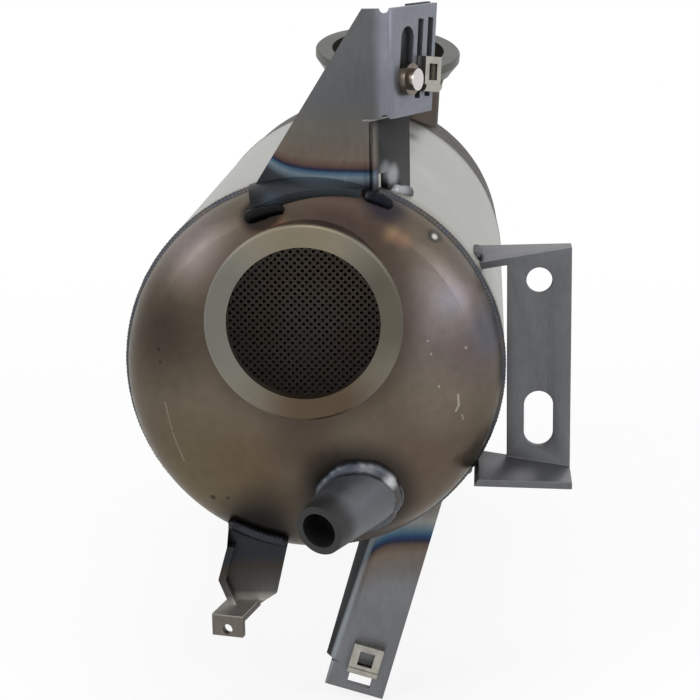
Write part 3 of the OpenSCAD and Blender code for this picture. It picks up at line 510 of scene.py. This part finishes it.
# Marks on the top bracket: weld smear on the flange, blue shine and soot on the foot, and darker spots along
# the foot's lower front edge
TOP_MARKS = (
    ((29.5, 47.5, 51), 1.5, 6, "#85898D", 0.8),
    ((32.3, 53, 48.9), 1.5, 6, "#A3A6A9", 0.85),
    ((-14.1, 27.8, 43.1), 1, 6, "#34424F", 0.5),
    ((-23.5, 30, 41.5), 3, 9, "#141516", 0.95),
    ((0, 27.5, 40.5), 1, 5, "#191B1D", 0.7),
    ((12, 27.5, 40.5), 1, 5, "#191B1D", 0.7),
)

# Heat bands of the top bracket: height in millimetres and colour
TOP_BANDS = (
    (42, "#2A2D31"),
    (46.5, "#30353A"),
    (48, "#4E5862"),
    (50, "#6A7882"),
    (51.5, "#3F5A72"),
    (52.6, "#1C2238"),
    (54.2, "#5A4640"),
    (57, "#6A5F55"),
    (66, "#636058"),
    (80, "#5C5D5F"),
)


def top_tint_and_shade(tree, mm):
    """Bands above the top bracket's bend, a web painted paler as if more lit, and painted shade on the lower
    flange.
    """
    parts = add(tree, "ShaderNodeSeparateXYZ", {0: mm}).outputs
    level = dipped(tree, mm, parts["X"], depth=-7.4, start=-16.5, width=8)
    base = bands(tree, level, TOP_BANDS)
    # Painted light: the web is painted paler, as it faces the light
    base = over(tree, base, fade(tree, reach(tree, mm, WEB_NORMAL), 10, 5), "#80838C")
    # Painted shade: the lower flange is painted near black
    below = fade(tree, parts["Z"], 71, 73)
    behind = fade(tree, parts["Y"], 44, 40)
    flange = add(tree, "ShaderNodeMath", {0: below, 1: behind}, operation="MULTIPLY").outputs[0]
    base = over(tree, base, flange, "#101011")
    return spots(tree, mm, base, TOP_MARKS)


# Heat bands of the lower right strip: height in millimetres and colour
LOW_BANDS = (
    (-128, "#747578"),
    (-120, "#6E6966"),
    (-113, "#70645A"),
    (-109.5, "#5C4C45"),
    (-107.6, "#282B3E"),
    (-106, "#263C5C"),
    (-104.4, "#3B5870"),
    (-102.8, "#5A6E7A"),
    (-99, "#8A8A86"),
    (-94, "#7A766F"),
)


def low_tint_and_shade(tree, mm):
    """Straw, blue and brown across the top of the lower right strip, a painted highlight along the fold and
    painted shade on the flange.
    """
    side = reach(tree, mm, STRIP_ACROSS)
    base = bands(tree, dipped(tree, mm, side, depth=9, start=57, width=3.5), LOW_BANDS)
    # Painted highlight along the fold
    base = over(tree, base, fade(tree, side, 57.5, 59), "#98A0A6", 0.6)
    # Painted shade on the flange, which faces away from the light
    return over(tree, base, fade(tree, side, 55.5, 57), "#1C2022")


# Soot and bare steel of the lower left strip, and a painted highlight on the top face of its tab: height in
# millimetres and colour
LEFT_BANDS_AND_HIGHLIGHT = (
    (-130, "#6E6860"),
    (-122.6, "#6B665F"),
    # Painted highlight on the top face of the tab
    (-121.9, "#A29E98"),
    (-119.8, "#8A8680"),
    (-118, "#565451"),
    (-113, "#454341"),
    (-107, "#3A332D"),
    (-103, "#2A2E33"),
    (-97, "#2B2E30"),
    (-90, "#222323"),
)


def left_tint_and_highlight(tree, mm):
    """Soot at the top of the lower left strip, clearing to bare steel at its tab, with a painted highlight on
    the tab's top face.
    """
    height = add(tree, "ShaderNodeSeparateXYZ", {0: mm}).outputs["Z"]
    return bands(tree, height, LEFT_BANDS_AND_HIGHLIGHT)


def plated_steel(name, plate_colour, worn_face=None):
    """Zinc plating with dull patches; worn_face is the height along the bolt of its bare, bright end."""
    made, tree, shader, mm = new_finish(name)
    broad = cloud(tree, mm, 5)
    base = grain(tree, plate_colour, broad, 0.72, 1.12)
    if worn_face is not None:
        along = reach(tree, mm, WEB_NORMAL)
        base = over(tree, base, fade(tree, along, worn_face - 0.2, worn_face - 0.8), "#D2CCCB")
    finish_shader(tree, shader, base, levelled(tree, broad, 0.18, 0.38))
    return made


def sooty_ceramic(colours):
    """Porous silicon carbide, dark with soot and brown where the ash lies."""
    made, tree, shader, mm = new_finish("sooty_ceramic", 0.0)
    broad = cloud(tree, mm, 30, 2.0)
    fine = cloud(tree, mm, 0.8, 3.0)
    base = over(tree, colours.block, fade(tree, broad, 0.35, 0.62), "#887769", 0.6)
    finish_shader(tree, shader, grain(tree, base, fine, 0.75, 1.15), 0.9)
    bump(tree, shader, fine, 0.05)
    return made


def fibre_mat():
    """Ceramic fibre felt, pale and matt."""
    made, tree, shader, mm = new_finish("fibre_mat", 0.0)
    fine = cloud(tree, mm, 1.0, 5.0, (3, 1, 1))
    stain = cloud(tree, mm, 20)
    base = over(tree, linear("#D8D4C8"), fade(tree, stain, 0.3, 0.6), "#B8AE98", 0.7)
    finish_shader(tree, shader, grain(tree, base, fine, 0.8, 1.05), 0.95)
    bump(tree, shader, fine, 0.3)
    return made


def wire_seal():
    """Knitted stainless wire: crossed loops of about a millimetre."""
    made, tree, shader, mm = new_finish("wire_seal")
    sockets = {"Vector": mm, "Scale": 0.5, "Distortion": 6.0, "Detail": 2.0}
    loops = add(tree, "ShaderNodeTexWave", sockets).outputs["Fac"]
    base = add(tree, "ShaderNodeValToRGB", {0: loops}, [(0.2, "#3A3B3D"), (0.7, "#9A9C9E")]).outputs[0]
    finish_shader(tree, shader, base, 0.4)
    bump(tree, shader, loops, 0.4)
    return made


# Meshes


def new_piece(name, mesh, finish, slot_name, *nodes):
    """Adds a finished mesh as a piece that stands for CAD nodes."""
    piece = bpy.data.objects.new(name, mesh)
    bpy.context.scene.collection.objects.link(piece)
    piece.data.materials.clear()
    piece.data.materials.append(finish)
    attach(piece, BODY)
    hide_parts(*nodes)
    return piece


def dress(node, finish):
    """Gives a CAD node its finish."""
    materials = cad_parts[node].data.materials
    materials.clear()
    materials.append(finish)


def farthest(node, direction):
    """How far a CAD node reaches along a direction, in millimetres."""
    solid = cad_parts[node]
    places = [solid.matrix_world @ vertex.co for vertex in solid.data.vertices]
    return max(place.dot(Vector(direction)) for place in places) / MM


def plain_mesh(carrier):
    """The mesh that an object's modifiers give; the object itself is removed."""
    bpy.context.view_layer.update()
    graph = bpy.context.evaluated_depsgraph_get()
    mesh = bpy.data.meshes.new_from_object(carrier.evaluated_get(graph), depsgraph=graph)
    bpy.data.objects.remove(carrier)
    return mesh


# Points closer than this many millimetres are one, faces within the flat angle are one, and edges past the
# sharp angle are broken in steps; both angles in degrees
MERGE_DISTANCE = 0.002
FLAT_ANGLE = 0.6
SHARP_ANGLE = 28
EDGE_STEPS = 2


def rounded(node, edge):
    """A copy of a CAD node's mesh with its sharp edges broken."""
    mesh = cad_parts[node].data.copy()
    shape = bmesh.new()
    shape.from_mesh(mesh)
    bmesh.ops.remove_doubles(shape, verts=shape.verts, dist=MERGE_DISTANCE * MM)
    bmesh.ops.dissolve_limit(
        shape,
        angle_limit=math.radians(FLAT_ANGLE),
        use_dissolve_boundaries=False,
        verts=shape.verts,
        edges=shape.edges,
    )
    for face in shape.faces:
        face.smooth = True
    shape.to_mesh(mesh)
    shape.free()
    carrier = bpy.data.objects.new(node + "_copy", mesh)
    bpy.context.scene.collection.objects.link(carrier)
    bevel = carrier.modifiers.new("edge", "BEVEL")
    bevel.width = edge
    bevel.segments = EDGE_STEPS
    bevel.limit_method = "ANGLE"
    bevel.angle_limit = math.radians(SHARP_ANGLE)
    bevel.harden_normals = True
    return plain_mesh(carrier)


# Stage


# Strength of the surround as a light
SOFT_LIGHT = 0.55


def studio_world():
    """A white surround for camera and reflections, and a plain level of soft light."""
    world = bpy.data.worlds.new("studio")
    bpy.context.scene.world = world
    world.use_nodes = True
    tree = world.node_tree
    tree.nodes.clear()
    soft = add(tree, "ShaderNodeBackground", {"Color": linear("#F4F6F8"), "Strength": SOFT_LIGHT})
    white = add(tree, "ShaderNodeBackground", {"Color": linear("#FFFFFF"), "Strength": 1.0})
    sockets = {0: seen_directly(tree), 1: soft.outputs[0], 2: white.outputs[0]}
    mixed = add(tree, "ShaderNodeMixShader", sockets)
    add(tree, "ShaderNodeOutputWorld", {"Surface": mixed.outputs[0]})


def seen_directly(tree):
    """A mask for rays that show a surface by itself, in a mirror or through glass."""
    path = add(tree, "ShaderNodeLightPath").outputs
    sockets = {0: path["Is Camera Ray"], 1: path["Is Glossy Ray"]}
    shown = add(tree, "ShaderNodeMath", sockets, operation="MAXIMUM").outputs[0]
    sockets = {0: shown, 1: path["Is Transmission Ray"]}
    return add(tree, "ShaderNodeMath", sockets, operation="MAXIMUM").outputs[0]


# Size and middle of the floor in metres, and where it starts and ends to fade, in millimetres
FLOOR_SIZE = 6
FLOOR_BACK = 0.15
FLOOR_FADE = (300, 900)


def pale_floor():
    """A plain pale floor under the lowest bracket that keeps the shadow and fades into the surround."""
    bpy.ops.mesh.primitive_plane_add(size=FLOOR_SIZE, location=(0, FLOOR_BACK, CAD_BOX[0][2]))
    floor = bpy.context.object
    floor.name = "floor"
    made, tree, shader, mm = new_finish("pale_floor")
    tree.nodes.remove(shader)
    output = next(node for node in tree.nodes if node.type == "OUTPUT_MATERIAL")
    away = add(tree, "ShaderNodeVectorMath", {0: mm}, operation="LENGTH").outputs["Value"]
    matt = add(tree, "ShaderNodeBsdfDiffuse", {"Color": linear("#F6F6F4")})
    shade = add(tree, "ShaderNodeBsdfDiffuse", {"Color": linear("#8C8C8C")})
    glow = add(tree, "ShaderNodeEmission", {"Color": linear("#FFFFFF"), "Strength": 0.8})
    white = add(tree, "ShaderNodeEmission", {"Color": linear("#FFFFFF"), "Strength": 1.0})
    near = add(tree, "ShaderNodeAddShader", {0: shade.outputs[0], 1: glow.outputs[0]})
    sockets = {0: fade(tree, away, *FLOOR_FADE), 1: white.outputs[0], 2: near.outputs[0]}
    faded = add(tree, "ShaderNodeMixShader", sockets)
    sockets = {0: seen_directly(tree), 1: matt.outputs[0], 2: faded.outputs[0]}
    mixed = add(tree, "ShaderNodeMixShader", sockets)
    tree.links.new(mixed.outputs[0], output.inputs["Surface"])
    floor.data.materials.append(made)


# Lamps: name, place and size in metres, power in watts
LAMPS = (
    ("left_lamp", (-0.9, -0.6, 0.7), 0.6, 3.5),
    ("right_lamp", (0.9, -0.5, 0.5), 0.5, 2),
    ("top_lamp", (0.1, 0.2, 1.1), 0.9, 2.5),
)
LAMP_AIM = Vector((0, 0.1, 0))


def soft_lamp(name, place, size, power):
    """One square soft lamp, aimed at the can."""
    lamp = bpy.data.lights.new(name, "AREA")
    lamp.shape = "SQUARE"
    lamp.size = size
    lamp.energy = power
    holder = bpy.data.objects.new(name, lamp)
    bpy.context.scene.collection.objects.link(holder)
    holder.location = place
    holder.rotation_euler = (LAMP_AIM - Vector(place)).to_track_quat("-Z", "Y").to_euler()


# The photograph's camera: place in metres, axes, focal length in pixels, picture width and sensor width
CAMERA_PLACE = Vector((0.0688, -0.6988, 0.1619))
CAMERA_RIGHT = Vector((0.9975, 0.0688, -0.0169))
CAMERA_UP = Vector((0.0, 0.2390, 0.9711))
FOCAL_PIXELS = 1900
IMAGE_PIXELS = 700
SENSOR_MM = 36


def photo_camera():
    """The camera at the photograph's viewing angle."""
    data = bpy.data.cameras.new("camera")
    data.sensor_fit = "HORIZONTAL"
    data.sensor_width = SENSOR_MM
    data.lens = FOCAL_PIXELS / IMAGE_PIXELS * SENSOR_MM
    data.clip_start = 0.01
    camera = bpy.data.objects.new("camera", data)
    bpy.context.scene.collection.objects.link(camera)
    right = CAMERA_RIGHT.normalized()
    back = right.cross(CAMERA_UP).normalized()
    up = back.cross(right)
    turn = Matrix((right, up, back)).transposed()
    camera.matrix_world = Matrix.Translation(CAMERA_PLACE) @ turn.to_4x4()
    bpy.context.scene.camera = camera


# Geometry nodes


def baked(carrier, tree, values):
    """Runs a geometry tree on a carrier object and gives the result as a plain mesh."""
    modifier = carrier.modifiers.new("nodes", "NODES")
    modifier.node_group = tree
    for item in tree.interface.items_tree:
        if item.in_out == "INPUT" and item.name in values:
            modifier[item.identifier] = values[item.name]
    return plain_mesh(carrier)


def new_tree(name, inputs):
    """A geometry tree with its geometry sockets and named inputs."""
    tree = bpy.data.node_groups.new(name, "GeometryNodeTree")
    tree.interface.new_socket("Geometry", in_out="OUTPUT", socket_type="NodeSocketGeometry")
    tree.interface.new_socket("Geometry", in_out="INPUT", socket_type="NodeSocketGeometry")
    for label, kind in inputs:
        tree.interface.new_socket(label, in_out="INPUT", socket_type="NodeSocket" + kind)
    return tree


def finish_tree(tree, geometry, finish, smooth):
    """Ends a geometry tree: shading, real geometry and the finish."""
    sockets = {"Geometry": geometry, "Shade Smooth": smooth}
    shaded = add(tree, "GeometryNodeSetShadeSmooth", sockets).outputs[0]
    real = add(tree, "GeometryNodeRealizeInstances", {0: shaded}).outputs[0]
    done = add(tree, "GeometryNodeSetMaterial", {"Geometry": real, "Material": finish}).outputs[0]
    add(tree, "NodeGroupOutput", {0: done})


# Mean size and ripple of a bead as shares of its radius, rings of points per ripple and points per ring
BEAD_LEVEL = 0.92
RIPPLE_HEIGHT = 0.035
RIPPLE_STEPS = 4
BEAD_SIDES = 14

# How far beads swell and shrink as a share of the radius, hand-laid ones and even ones, and how often
# for each ripple
HEAVY_SWELL = 1.1
EVEN_SWELL = 0.15
RIPPLE_NOISE = 0.5
HEAVY_WELDS = ("boss_weld", "top_bracket_welds")


def bead_tree():
    """A weld bead swept along its paths: ripples, uneven swell and rounded ends."""
    inputs = (
        ("Radius", "Float"),
        ("Ripple", "Float"),
        ("Swell", "Float"),
        ("Seed", "Float"),
        ("Finish", "Material"),
    )
    tree = new_tree("weld_bead", inputs)
    given = add(tree, "NodeGroupInput").outputs
    step = add(tree, "ShaderNodeMath", {0: given["Ripple"], 1: RIPPLE_STEPS}, operation="DIVIDE").outputs[0]
    sockets = {"Curve": given["Geometry"], "Length": step}
    path = add(tree, "GeometryNodeResampleCurve", sockets, mode="LENGTH").outputs[0]
    along = add(tree, "GeometryNodeSplineParameter").outputs["Length"]
    total = add(tree, "GeometryNodeSplineLength").outputs["Length"]
    turns = add(tree, "ShaderNodeMath", {0: along, 1: given["Ripple"]}, operation="DIVIDE").outputs[0]
    angle = add(tree, "ShaderNodeMath", {0: turns, 1: math.tau}, operation="MULTIPLY").outputs[0]
    wave = add(tree, "ShaderNodeMath", {0: angle}, operation="SINE").outputs[0]
    sockets = {0: wave, 1: RIPPLE_HEIGHT, 2: BEAD_LEVEL}
    rippled = add(tree, "ShaderNodeMath", sockets, operation="MULTIPLY_ADD").outputs[0]
    place = add(tree, "GeometryNodeInputPosition").outputs[0]
    spread = add(tree, "ShaderNodeMath", {0: RIPPLE_NOISE, 1: given["Ripple"]}, operation="DIVIDE").outputs[0]
    sockets = {"Vector": place, "W": given["Seed"], "Scale": spread}
    noise = add(tree, "ShaderNodeTexNoise", sockets, noise_dimensions="4D").outputs[0]
    lump = add(tree, "ShaderNodeMath", {0: noise, 1: NOISE_MIDDLE}, operation="SUBTRACT").outputs[0]
    sockets = {0: lump, 1: given["Swell"], 2: rippled}
    swollen = add(tree, "ShaderNodeMath", sockets, operation="MULTIPLY_ADD").outputs[0]
    held = add(tree, "ShaderNodeMath", {0: swollen, 1: 1.0}, operation="MINIMUM").outputs[0]
    ahead = add(tree, "ShaderNodeMath", {0: total, 1: along}, operation="SUBTRACT").outputs[0]
    nearest = add(tree, "ShaderNodeMath", {0: along, 1: ahead}, operation="MINIMUM").outputs[0]
    sockets = {0: nearest, 1: given["Radius"]}
    share = add(tree, "ShaderNodeMath", sockets, operation="DIVIDE", use_clamp=True).outputs[0]
    rest = add(tree, "ShaderNodeMath", {0: 2.0, 1: share}, operation="SUBTRACT").outputs[0]
    product = add(tree, "ShaderNodeMath", {0: share, 1: rest}, operation="MULTIPLY").outputs[0]
    ended = add(tree, "ShaderNodeMath", {0: product}, operation="SQRT").outputs[0]
    closed = add(tree, "GeometryNodeInputSplineCyclic").outputs[0]
    opened = add(tree, "ShaderNodeMath", {0: ended, 1: closed}, operation="MAXIMUM").outputs[0]
    scale = add(tree, "ShaderNodeMath", {0: held, 1: opened}, operation="MULTIPLY").outputs[0]
    sockets = {"Resolution": BEAD_SIDES, "Radius": given["Radius"]}
    section = add(tree, "GeometryNodeCurvePrimitiveCircle", sockets).outputs[0]
    sockets = {"Curve": path, "Profile Curve": section, "Scale": scale, "Fill Caps": True}
    bead = add(tree, "GeometryNodeCurveToMesh", sockets).outputs[0]
    finish_tree(tree, bead, given["Finish"], True)
    return tree


# Sides of the ceramic block's round skin
BLOCK_SIDES = 160


def honeycomb_tree():
    """The ceramic block: a grid of cells on both faces, every second one shut by a flush plug."""
    inputs = (
        ("Pitch", "Float"),
        ("Wall", "Float"),
        ("Depth", "Float"),
        ("Radius", "Float"),
        ("Reach", "Float"),
        ("Length", "Float"),
        ("Middle", "Vector"),
        ("Finish", "Material"),
    )
    tree = new_tree("honeycomb", inputs)
    given = add(tree, "NodeGroupInput").outputs
    sockets = {0: given["Radius"], 1: given["Pitch"]}
    across = add(tree, "ShaderNodeMath", sockets, operation="DIVIDE").outputs[0]
    half = add(tree, "ShaderNodeMath", {0: across}, operation="CEIL").outputs[0]
    count = add(tree, "ShaderNodeMath", {0: half, 1: 2.0, 2: 1.0}, operation="MULTIPLY_ADD").outputs[0]
    extent = add(tree, "ShaderNodeMath", {0: half, 1: given["Pitch"]}, operation="MULTIPLY").outputs[0]
    side = add(tree, "ShaderNodeMath", {0: extent, 1: 2.0}, operation="MULTIPLY").outputs[0]
    sockets = {"Size X": side, "Size Y": side, "Vertices X": count, "Vertices Y": count}
    grid = add(tree, "GeometryNodeMeshGrid", sockets).outputs["Mesh"]
    place = add(tree, "GeometryNodeInputPosition").outputs[0]
    far = add(tree, "ShaderNodeVectorMath", {0: place}, operation="LENGTH").outputs["Value"]
    sockets = {0: far, 1: given["Reach"]}
    outside = add(tree, "FunctionNodeCompare", sockets, operation="GREATER_THAN").outputs[0]
    sockets = {"Geometry": grid, "Selection": outside}
    face = add(tree, "GeometryNodeDeleteGeometry", sockets, domain="FACE").outputs[0]
    inverse = add(tree, "ShaderNodeMath", {0: 1.0, 1: given["Pitch"]}, operation="DIVIDE").outputs[0]
    steps = add(tree, "ShaderNodeVectorMath", {0: place, "Scale": inverse}, operation="SCALE").outputs[0]
    index = add(tree, "ShaderNodeVectorMath", {0: steps}, operation="FLOOR").outputs[0]
    cell = add(tree, "ShaderNodeSeparateXYZ", {0: index}).outputs
    total = add(tree, "ShaderNodeMath", {0: cell["X"], 1: cell["Y"]}, operation="ADD").outputs[0]
    parity = add(tree, "ShaderNodeMath", {0: total, 1: 2.0}, operation="FLOORED_MODULO").outputs[0]
    is_open = add(tree, "FunctionNodeCompare", {0: parity, 1: 0.5}, operation="LESS_THAN").outputs[0]
    sockets = {"Mesh": face, "Selection": is_open, "Offset Scale": 0.0, "Individual": True}
    inset = add(tree, "GeometryNodeExtrudeMesh", sockets, mode="FACES").outputs
    sockets = {0: given["Pitch"], 1: given["Wall"]}
    width = add(tree, "ShaderNodeMath", sockets, operation="SUBTRACT").outputs[0]
    share = add(tree, "ShaderNodeMath", {0: width, 1: given["Pitch"]}, operation="DIVIDE").outputs[0]
    sockets = {"Geometry": inset["Mesh"], "Selection": inset["Top"], "Scale": share}
    rims = add(tree, "GeometryNodeScaleElements", sockets, domain="FACE").outputs[0]
    inward = add(tree, "ShaderNodeMath", {0: given["Depth"], 1: -1.0}, operation="MULTIPLY").outputs[0]
    sockets = {"Mesh": rims, "Selection": inset["Top"], "Offset Scale": inward, "Individual": True}
    cells = add(tree, "GeometryNodeExtrudeMesh", sockets, mode="FACES").outputs["Mesh"]
    halfway = add(tree, "ShaderNodeMath", {0: given["Length"], 1: 0.5}, operation="MULTIPLY").outputs[0]
    lift = add(tree, "ShaderNodeCombineXYZ", {2: halfway}).outputs[0]
    front = add(tree, "GeometryNodeTransform", {"Geometry": cells, "Translation": lift}).outputs[0]
    rear = add(tree, "GeometryNodeTransform", {"Geometry": front, "Rotation": (math.pi, 0, 0)}).outputs[0]
    sockets = {"Vertices": BLOCK_SIDES, "Radius": given["Radius"], "Depth": given["Length"]}
    tube = add(tree, "GeometryNodeMeshCylinder", sockets, fill_type="NONE").outputs["Mesh"]
    joined = add(tree, "GeometryNodeJoinGeometry")
    for part in (front, rear, tube):
        tree.links.new(part, joined.inputs[0])
    sockets = {"Geometry": joined.outputs[0], "Translation": given["Middle"], "Rotation": (math.pi / 2, 0, 0)}
    laid = add(tree, "GeometryNodeTransform", sockets).outputs[0]
    finish_tree(tree, laid, given["Finish"], False)
    return tree


# Weld paths, in millimetres in the row frame


# Points of an arc: at least this many, and this many for each degree; points of a full circle; and the gap
# between the ends of a path under which it is closed
ARC_LEAST = 8
ARC_POINTS = 1.5
RING_POINTS = 180
CLOSED_GAP = 0.001


def can_arc(radius, y, start, end):
    """An arc about the can axis, angles in degrees from +X towards +Z."""
    count = max(ARC_LEAST, int((end - start) * ARC_POINTS))
    points = []
    for k in range(count + 1):
        angle = math.radians(start + (end - start) * k / count)
        points.append(Vector((radius * math.cos(angle), y, CAN_HEIGHT + radius * math.sin(angle))))
    return points


def ring_path(middle, axis, radius):
    """A full circle about an axis; its last point is its first."""
    turn = Vector(axis).to_track_quat("Z", "Y")
    points = []
    for k in range(RING_POINTS + 1):
        angle = math.tau * k / RING_POINTS
        spoke = Vector((radius * math.cos(angle), radius * math.sin(angle), 0))
        points.append(Vector(middle) + turn @ spoke)
    return points


# For each weld: radius of the bead, and its paths
WELDS = {
    "front_seam_weld": (2.4, [ring_path((0, FRONT_SEAM - 0.8, CAN_HEIGHT), CAN_AXIS, CAN_RADIUS - 1.92)]),
    "rear_seam_weld": (1.5, [ring_path((0, REAR_SEAM + 0.5, CAN_HEIGHT), CAN_AXIS, CAN_RADIUS - 1.2)]),
    "inlet_ring_weld": (1.8, [ring_path((0, RING_DEPTH, 0), CAN_AXIS, RING_BEAD_RADIUS)]),
    "outlet_ring_weld": (1.8, [ring_path(OUTLET_NECK, OUTLET_AXIS, RING_BEAD_RADIUS)]),
    "boss_weld": (3.4, [ring_path(BOSS_ROOT, BOSS_NORMAL, 14.6)]),
    "top_bracket_welds": (
        3,
        [
            can_arc(67.6, FRONT_SEAM - 18.6, 97.5, 111.5),
            can_arc(74.0, FRONT_SEAM - 10.6, 63.5, 73.5),
            [Vector((31.4, 51.4, 43.0)), Vector((38.5, 65.3, 39.4))],
        ],
    ),
    "right_bracket_welds": (
        2.4,
        [
            [Vector((65.4, 64, 13.3)), Vector((65.4, 82, 13.3))],
            [Vector((61.4, 50.5, -73.7)), Vector((61.4, 67.7, -73.7))],
        ],
    ),
    "lower_left_weld": (2.4, [can_arc(70.46, FRONT_SEAM - 19, 240.5, 261)]),
    "lower_right_weld": (2.4, [can_arc(CAN_RADIUS + 0.8, FRONT_SEAM + 17.8, 288.5, 309.5)]),
}


def path_object(paths):
    """A curve object that holds the paths of one weld; a path that ends where it starts is closed."""
    curve = bpy.data.curves.new("weld_path", "CURVE")
    curve.dimensions = "3D"
    for points in paths:
        closed = (points[0] - points[-1]).length < CLOSED_GAP
        used = points[:-1] if closed else points
        spline = curve.splines.new("POLY")
        spline.points.add(len(used) - 1)
        spline.use_cyclic_u = closed
        for slot, point in zip(spline.points, used):
            slot.co = (*(point * MM), 1)
    carrier = bpy.data.objects.new("weld_path", curve)
    bpy.context.scene.collection.objects.link(carrier)
    return carrier


# Operators


class DPF_OT_block(bpy.types.Operator):
    """Makes the ceramic block with its fine cells"""

    bl_idname = "dpf.block"
    bl_label = "Ceramic block"

    def execute(self, context):
        sizes = context.scene.filter_sizes
        finish = sooty_ceramic(context.scene.filter_colours)
        low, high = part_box("monolith")
        carrier = bpy.data.objects.new("block", bpy.data.meshes.new("block"))
        context.scene.collection.objects.link(carrier)
        radius = (high.x - low.x) / 2
        values = {
            "Pitch": sizes.cell_pitch,
            "Wall": sizes.cell_wall,
            "Depth": sizes.cell_depth,
            "Radius": radius,
            "Reach": radius - sizes.block_skin,
            "Length": high.y - low.y,
            "Middle": (low + high) / 2,
            "Finish": finish,
        }
        mesh = baked(carrier, honeycomb_tree(), values)
        new_piece("ceramic_block", mesh, finish, "silicon_carbide", "monolith")
        return {"FINISHED"}


class DPF_OT_welds(bpy.types.Operator):
    """Lays the rippled weld beads over their plain solids"""

    bl_idname = "dpf.welds"
    bl_label = "Weld beads"

    def execute(self, context):
        sizes = context.scene.filter_sizes
        colours = context.scene.filter_colours
        plain = weld_metal("weld_metal", colours.weld)
        finishes = {
            "top_bracket_welds": weld_metal("sooty_weld_metal", colours.weld, TOP_BEAD_TINTS),
            "boss_weld": weld_metal("boss_weld_metal", colours.boss_weld, BOSS_BEAD_GLINTS),
            "lower_left_weld": weld_metal("black_weld_metal", colours.sooty_weld),
        }
        tree = bead_tree()
        for seed, (node, (radius, paths)) in enumerate(WELDS.items()):
            heavy = node in HEAVY_WELDS
            finish = finishes.get(node, plain)
            values = {
                "Radius": radius * MM,
                "Ripple": sizes.lump if heavy else sizes.ripple,
                "Swell": HEAVY_SWELL if heavy else EVEN_SWELL,
                "Seed": float(seed),
                "Finish": finish,
            }
            mesh = baked(path_object(paths), tree, values)
            new_piece(node + "_bead", mesh, finish, "weld_metal", node)
        return {"FINISHED"}


class DPF_OT_brackets(bpy.types.Operator):
    """Breaks the edges of the sheet brackets and gives them their heat tint, with painted light and shade on
    some of them
    """

    bl_idname = "dpf.brackets"
    bl_label = "Sheet brackets"

    def execute(self, context):
        colours = context.scene.filter_colours
        edge = context.scene.filter_sizes.edge
        for node, tint in (
            ("top_bracket", top_tint_and_shade),
            ("right_bracket", None),
            ("lower_left_bracket", left_tint_and_highlight),
            ("lower_right_bracket", low_tint_and_shade),
            ("backing_plate", None),
        ):
            plain = colours.backing if node == "backing_plate" else colours.bracket
            finish = bracket_steel(node + "_steel", plain, tint)
            new_piece(node + "_sheet", rounded(node, edge), finish, "bracket_steel", node)
        return {"FINISHED"}


class DPF_OT_turned(bpy.types.Operator):
    """Finishes the turned and plated pieces"""

    bl_idname = "dpf.turned"
    bl_label = "Turned and plated pieces"

    def execute(self, context):
        colours = context.scene.filter_colours
        plated = plated_steel("plated_steel", colours.plated)
        bolt = plated_steel("worn_bolt_steel", colours.bolt, farthest("slot_bolt", WEB_NORMAL))
        for node, finish in (
            ("inlet_ring", turned_ring("turned_stainless", colours.ring, RING_TINTS)),
            ("outlet_ring", turned_ring("rear_turned_stainless", colours.rear_ring)),
            ("sensor_boss", scaled_steel(colours)),
            ("slot_bolt", bolt),
            ("slot_nut", plated),
            ("clip_nuts", plated),
        ):
            dress(node, finish)
        return {"FINISHED"}


class DPF_OT_can(bpy.types.Operator):
    """Finishes the can: shell, caps, mat and wire seals"""

    bl_idname = "dpf.can"
    bl_label = "Can and caps"

    def execute(self, context):
        colours = context.scene.filter_colours
        seal = wire_seal()
        for node, finish in (
            ("shell", satin_barrel(colours)),
            ("inlet_cap", tinted_cap(colours)),
            ("outlet_cap", tinted_outlet(colours)),
            ("mat", fibre_mat()),
            ("front_seal", seal),
            ("rear_seal", seal),
        ):
            dress(node, finish)
        return {"FINISHED"}


class DPF_OT_stage(bpy.types.Operator):
    """Sets floor, surround, lamps and camera"""

    bl_idname = "dpf.stage"
    bl_label = "Stage"

    def execute(self, context):
        studio_world()
        pale_floor()
        for name, place, size, power in LAMPS:
            soft_lamp(name, place, size, power)
        photo_camera()
        context.scene.view_settings.view_transform = "Standard"
        return {"FINISHED"}


STEPS = (DPF_OT_can, DPF_OT_block, DPF_OT_welds, DPF_OT_brackets, DPF_OT_turned, DPF_OT_stage)


class DPF_PT_panel(bpy.types.Panel):
    """Lists the steps that dress the filter"""

    bl_idname = "DPF_PT_panel"
    bl_label = "Particulate filter"
    bl_space_type = "VIEW_3D"
    bl_region_type = "UI"
    bl_category = "Filter"

    def draw(self, context):
        for step in STEPS:
            self.layout.operator(step.bl_idname)
        for group in (context.scene.filter_sizes, context.scene.filter_colours):
            for name in group.bl_rna.properties.keys():
                if name not in ("rna_type", "name"):
                    self.layout.prop(group, name)


CLASSES = (FilterSizes, FilterColours, *STEPS, DPF_PT_panel)


def register():
    """Registers the classes and hangs the sizes and colours on the scene."""
    for item in CLASSES:
        bpy.utils.register_class(item)
    bpy.types.Scene.filter_sizes = bpy.props.PointerProperty(type=FilterSizes)
    bpy.types.Scene.filter_colours = bpy.props.PointerProperty(type=FilterColours)


def unregister():
    """Takes everything back."""
    del bpy.types.Scene.filter_colours
    del bpy.types.Scene.filter_sizes
    for item in reversed(CLASSES):
        bpy.utils.unregister_class(item)


def main():
    """Runs every step in order."""
    register()
    bpy.ops.dpf.can()
    bpy.ops.dpf.block()
    bpy.ops.dpf.welds()
    bpy.ops.dpf.brackets()
    bpy.ops.dpf.turned()
    bpy.ops.dpf.stage()


if __name__ == "__main__":
    main()
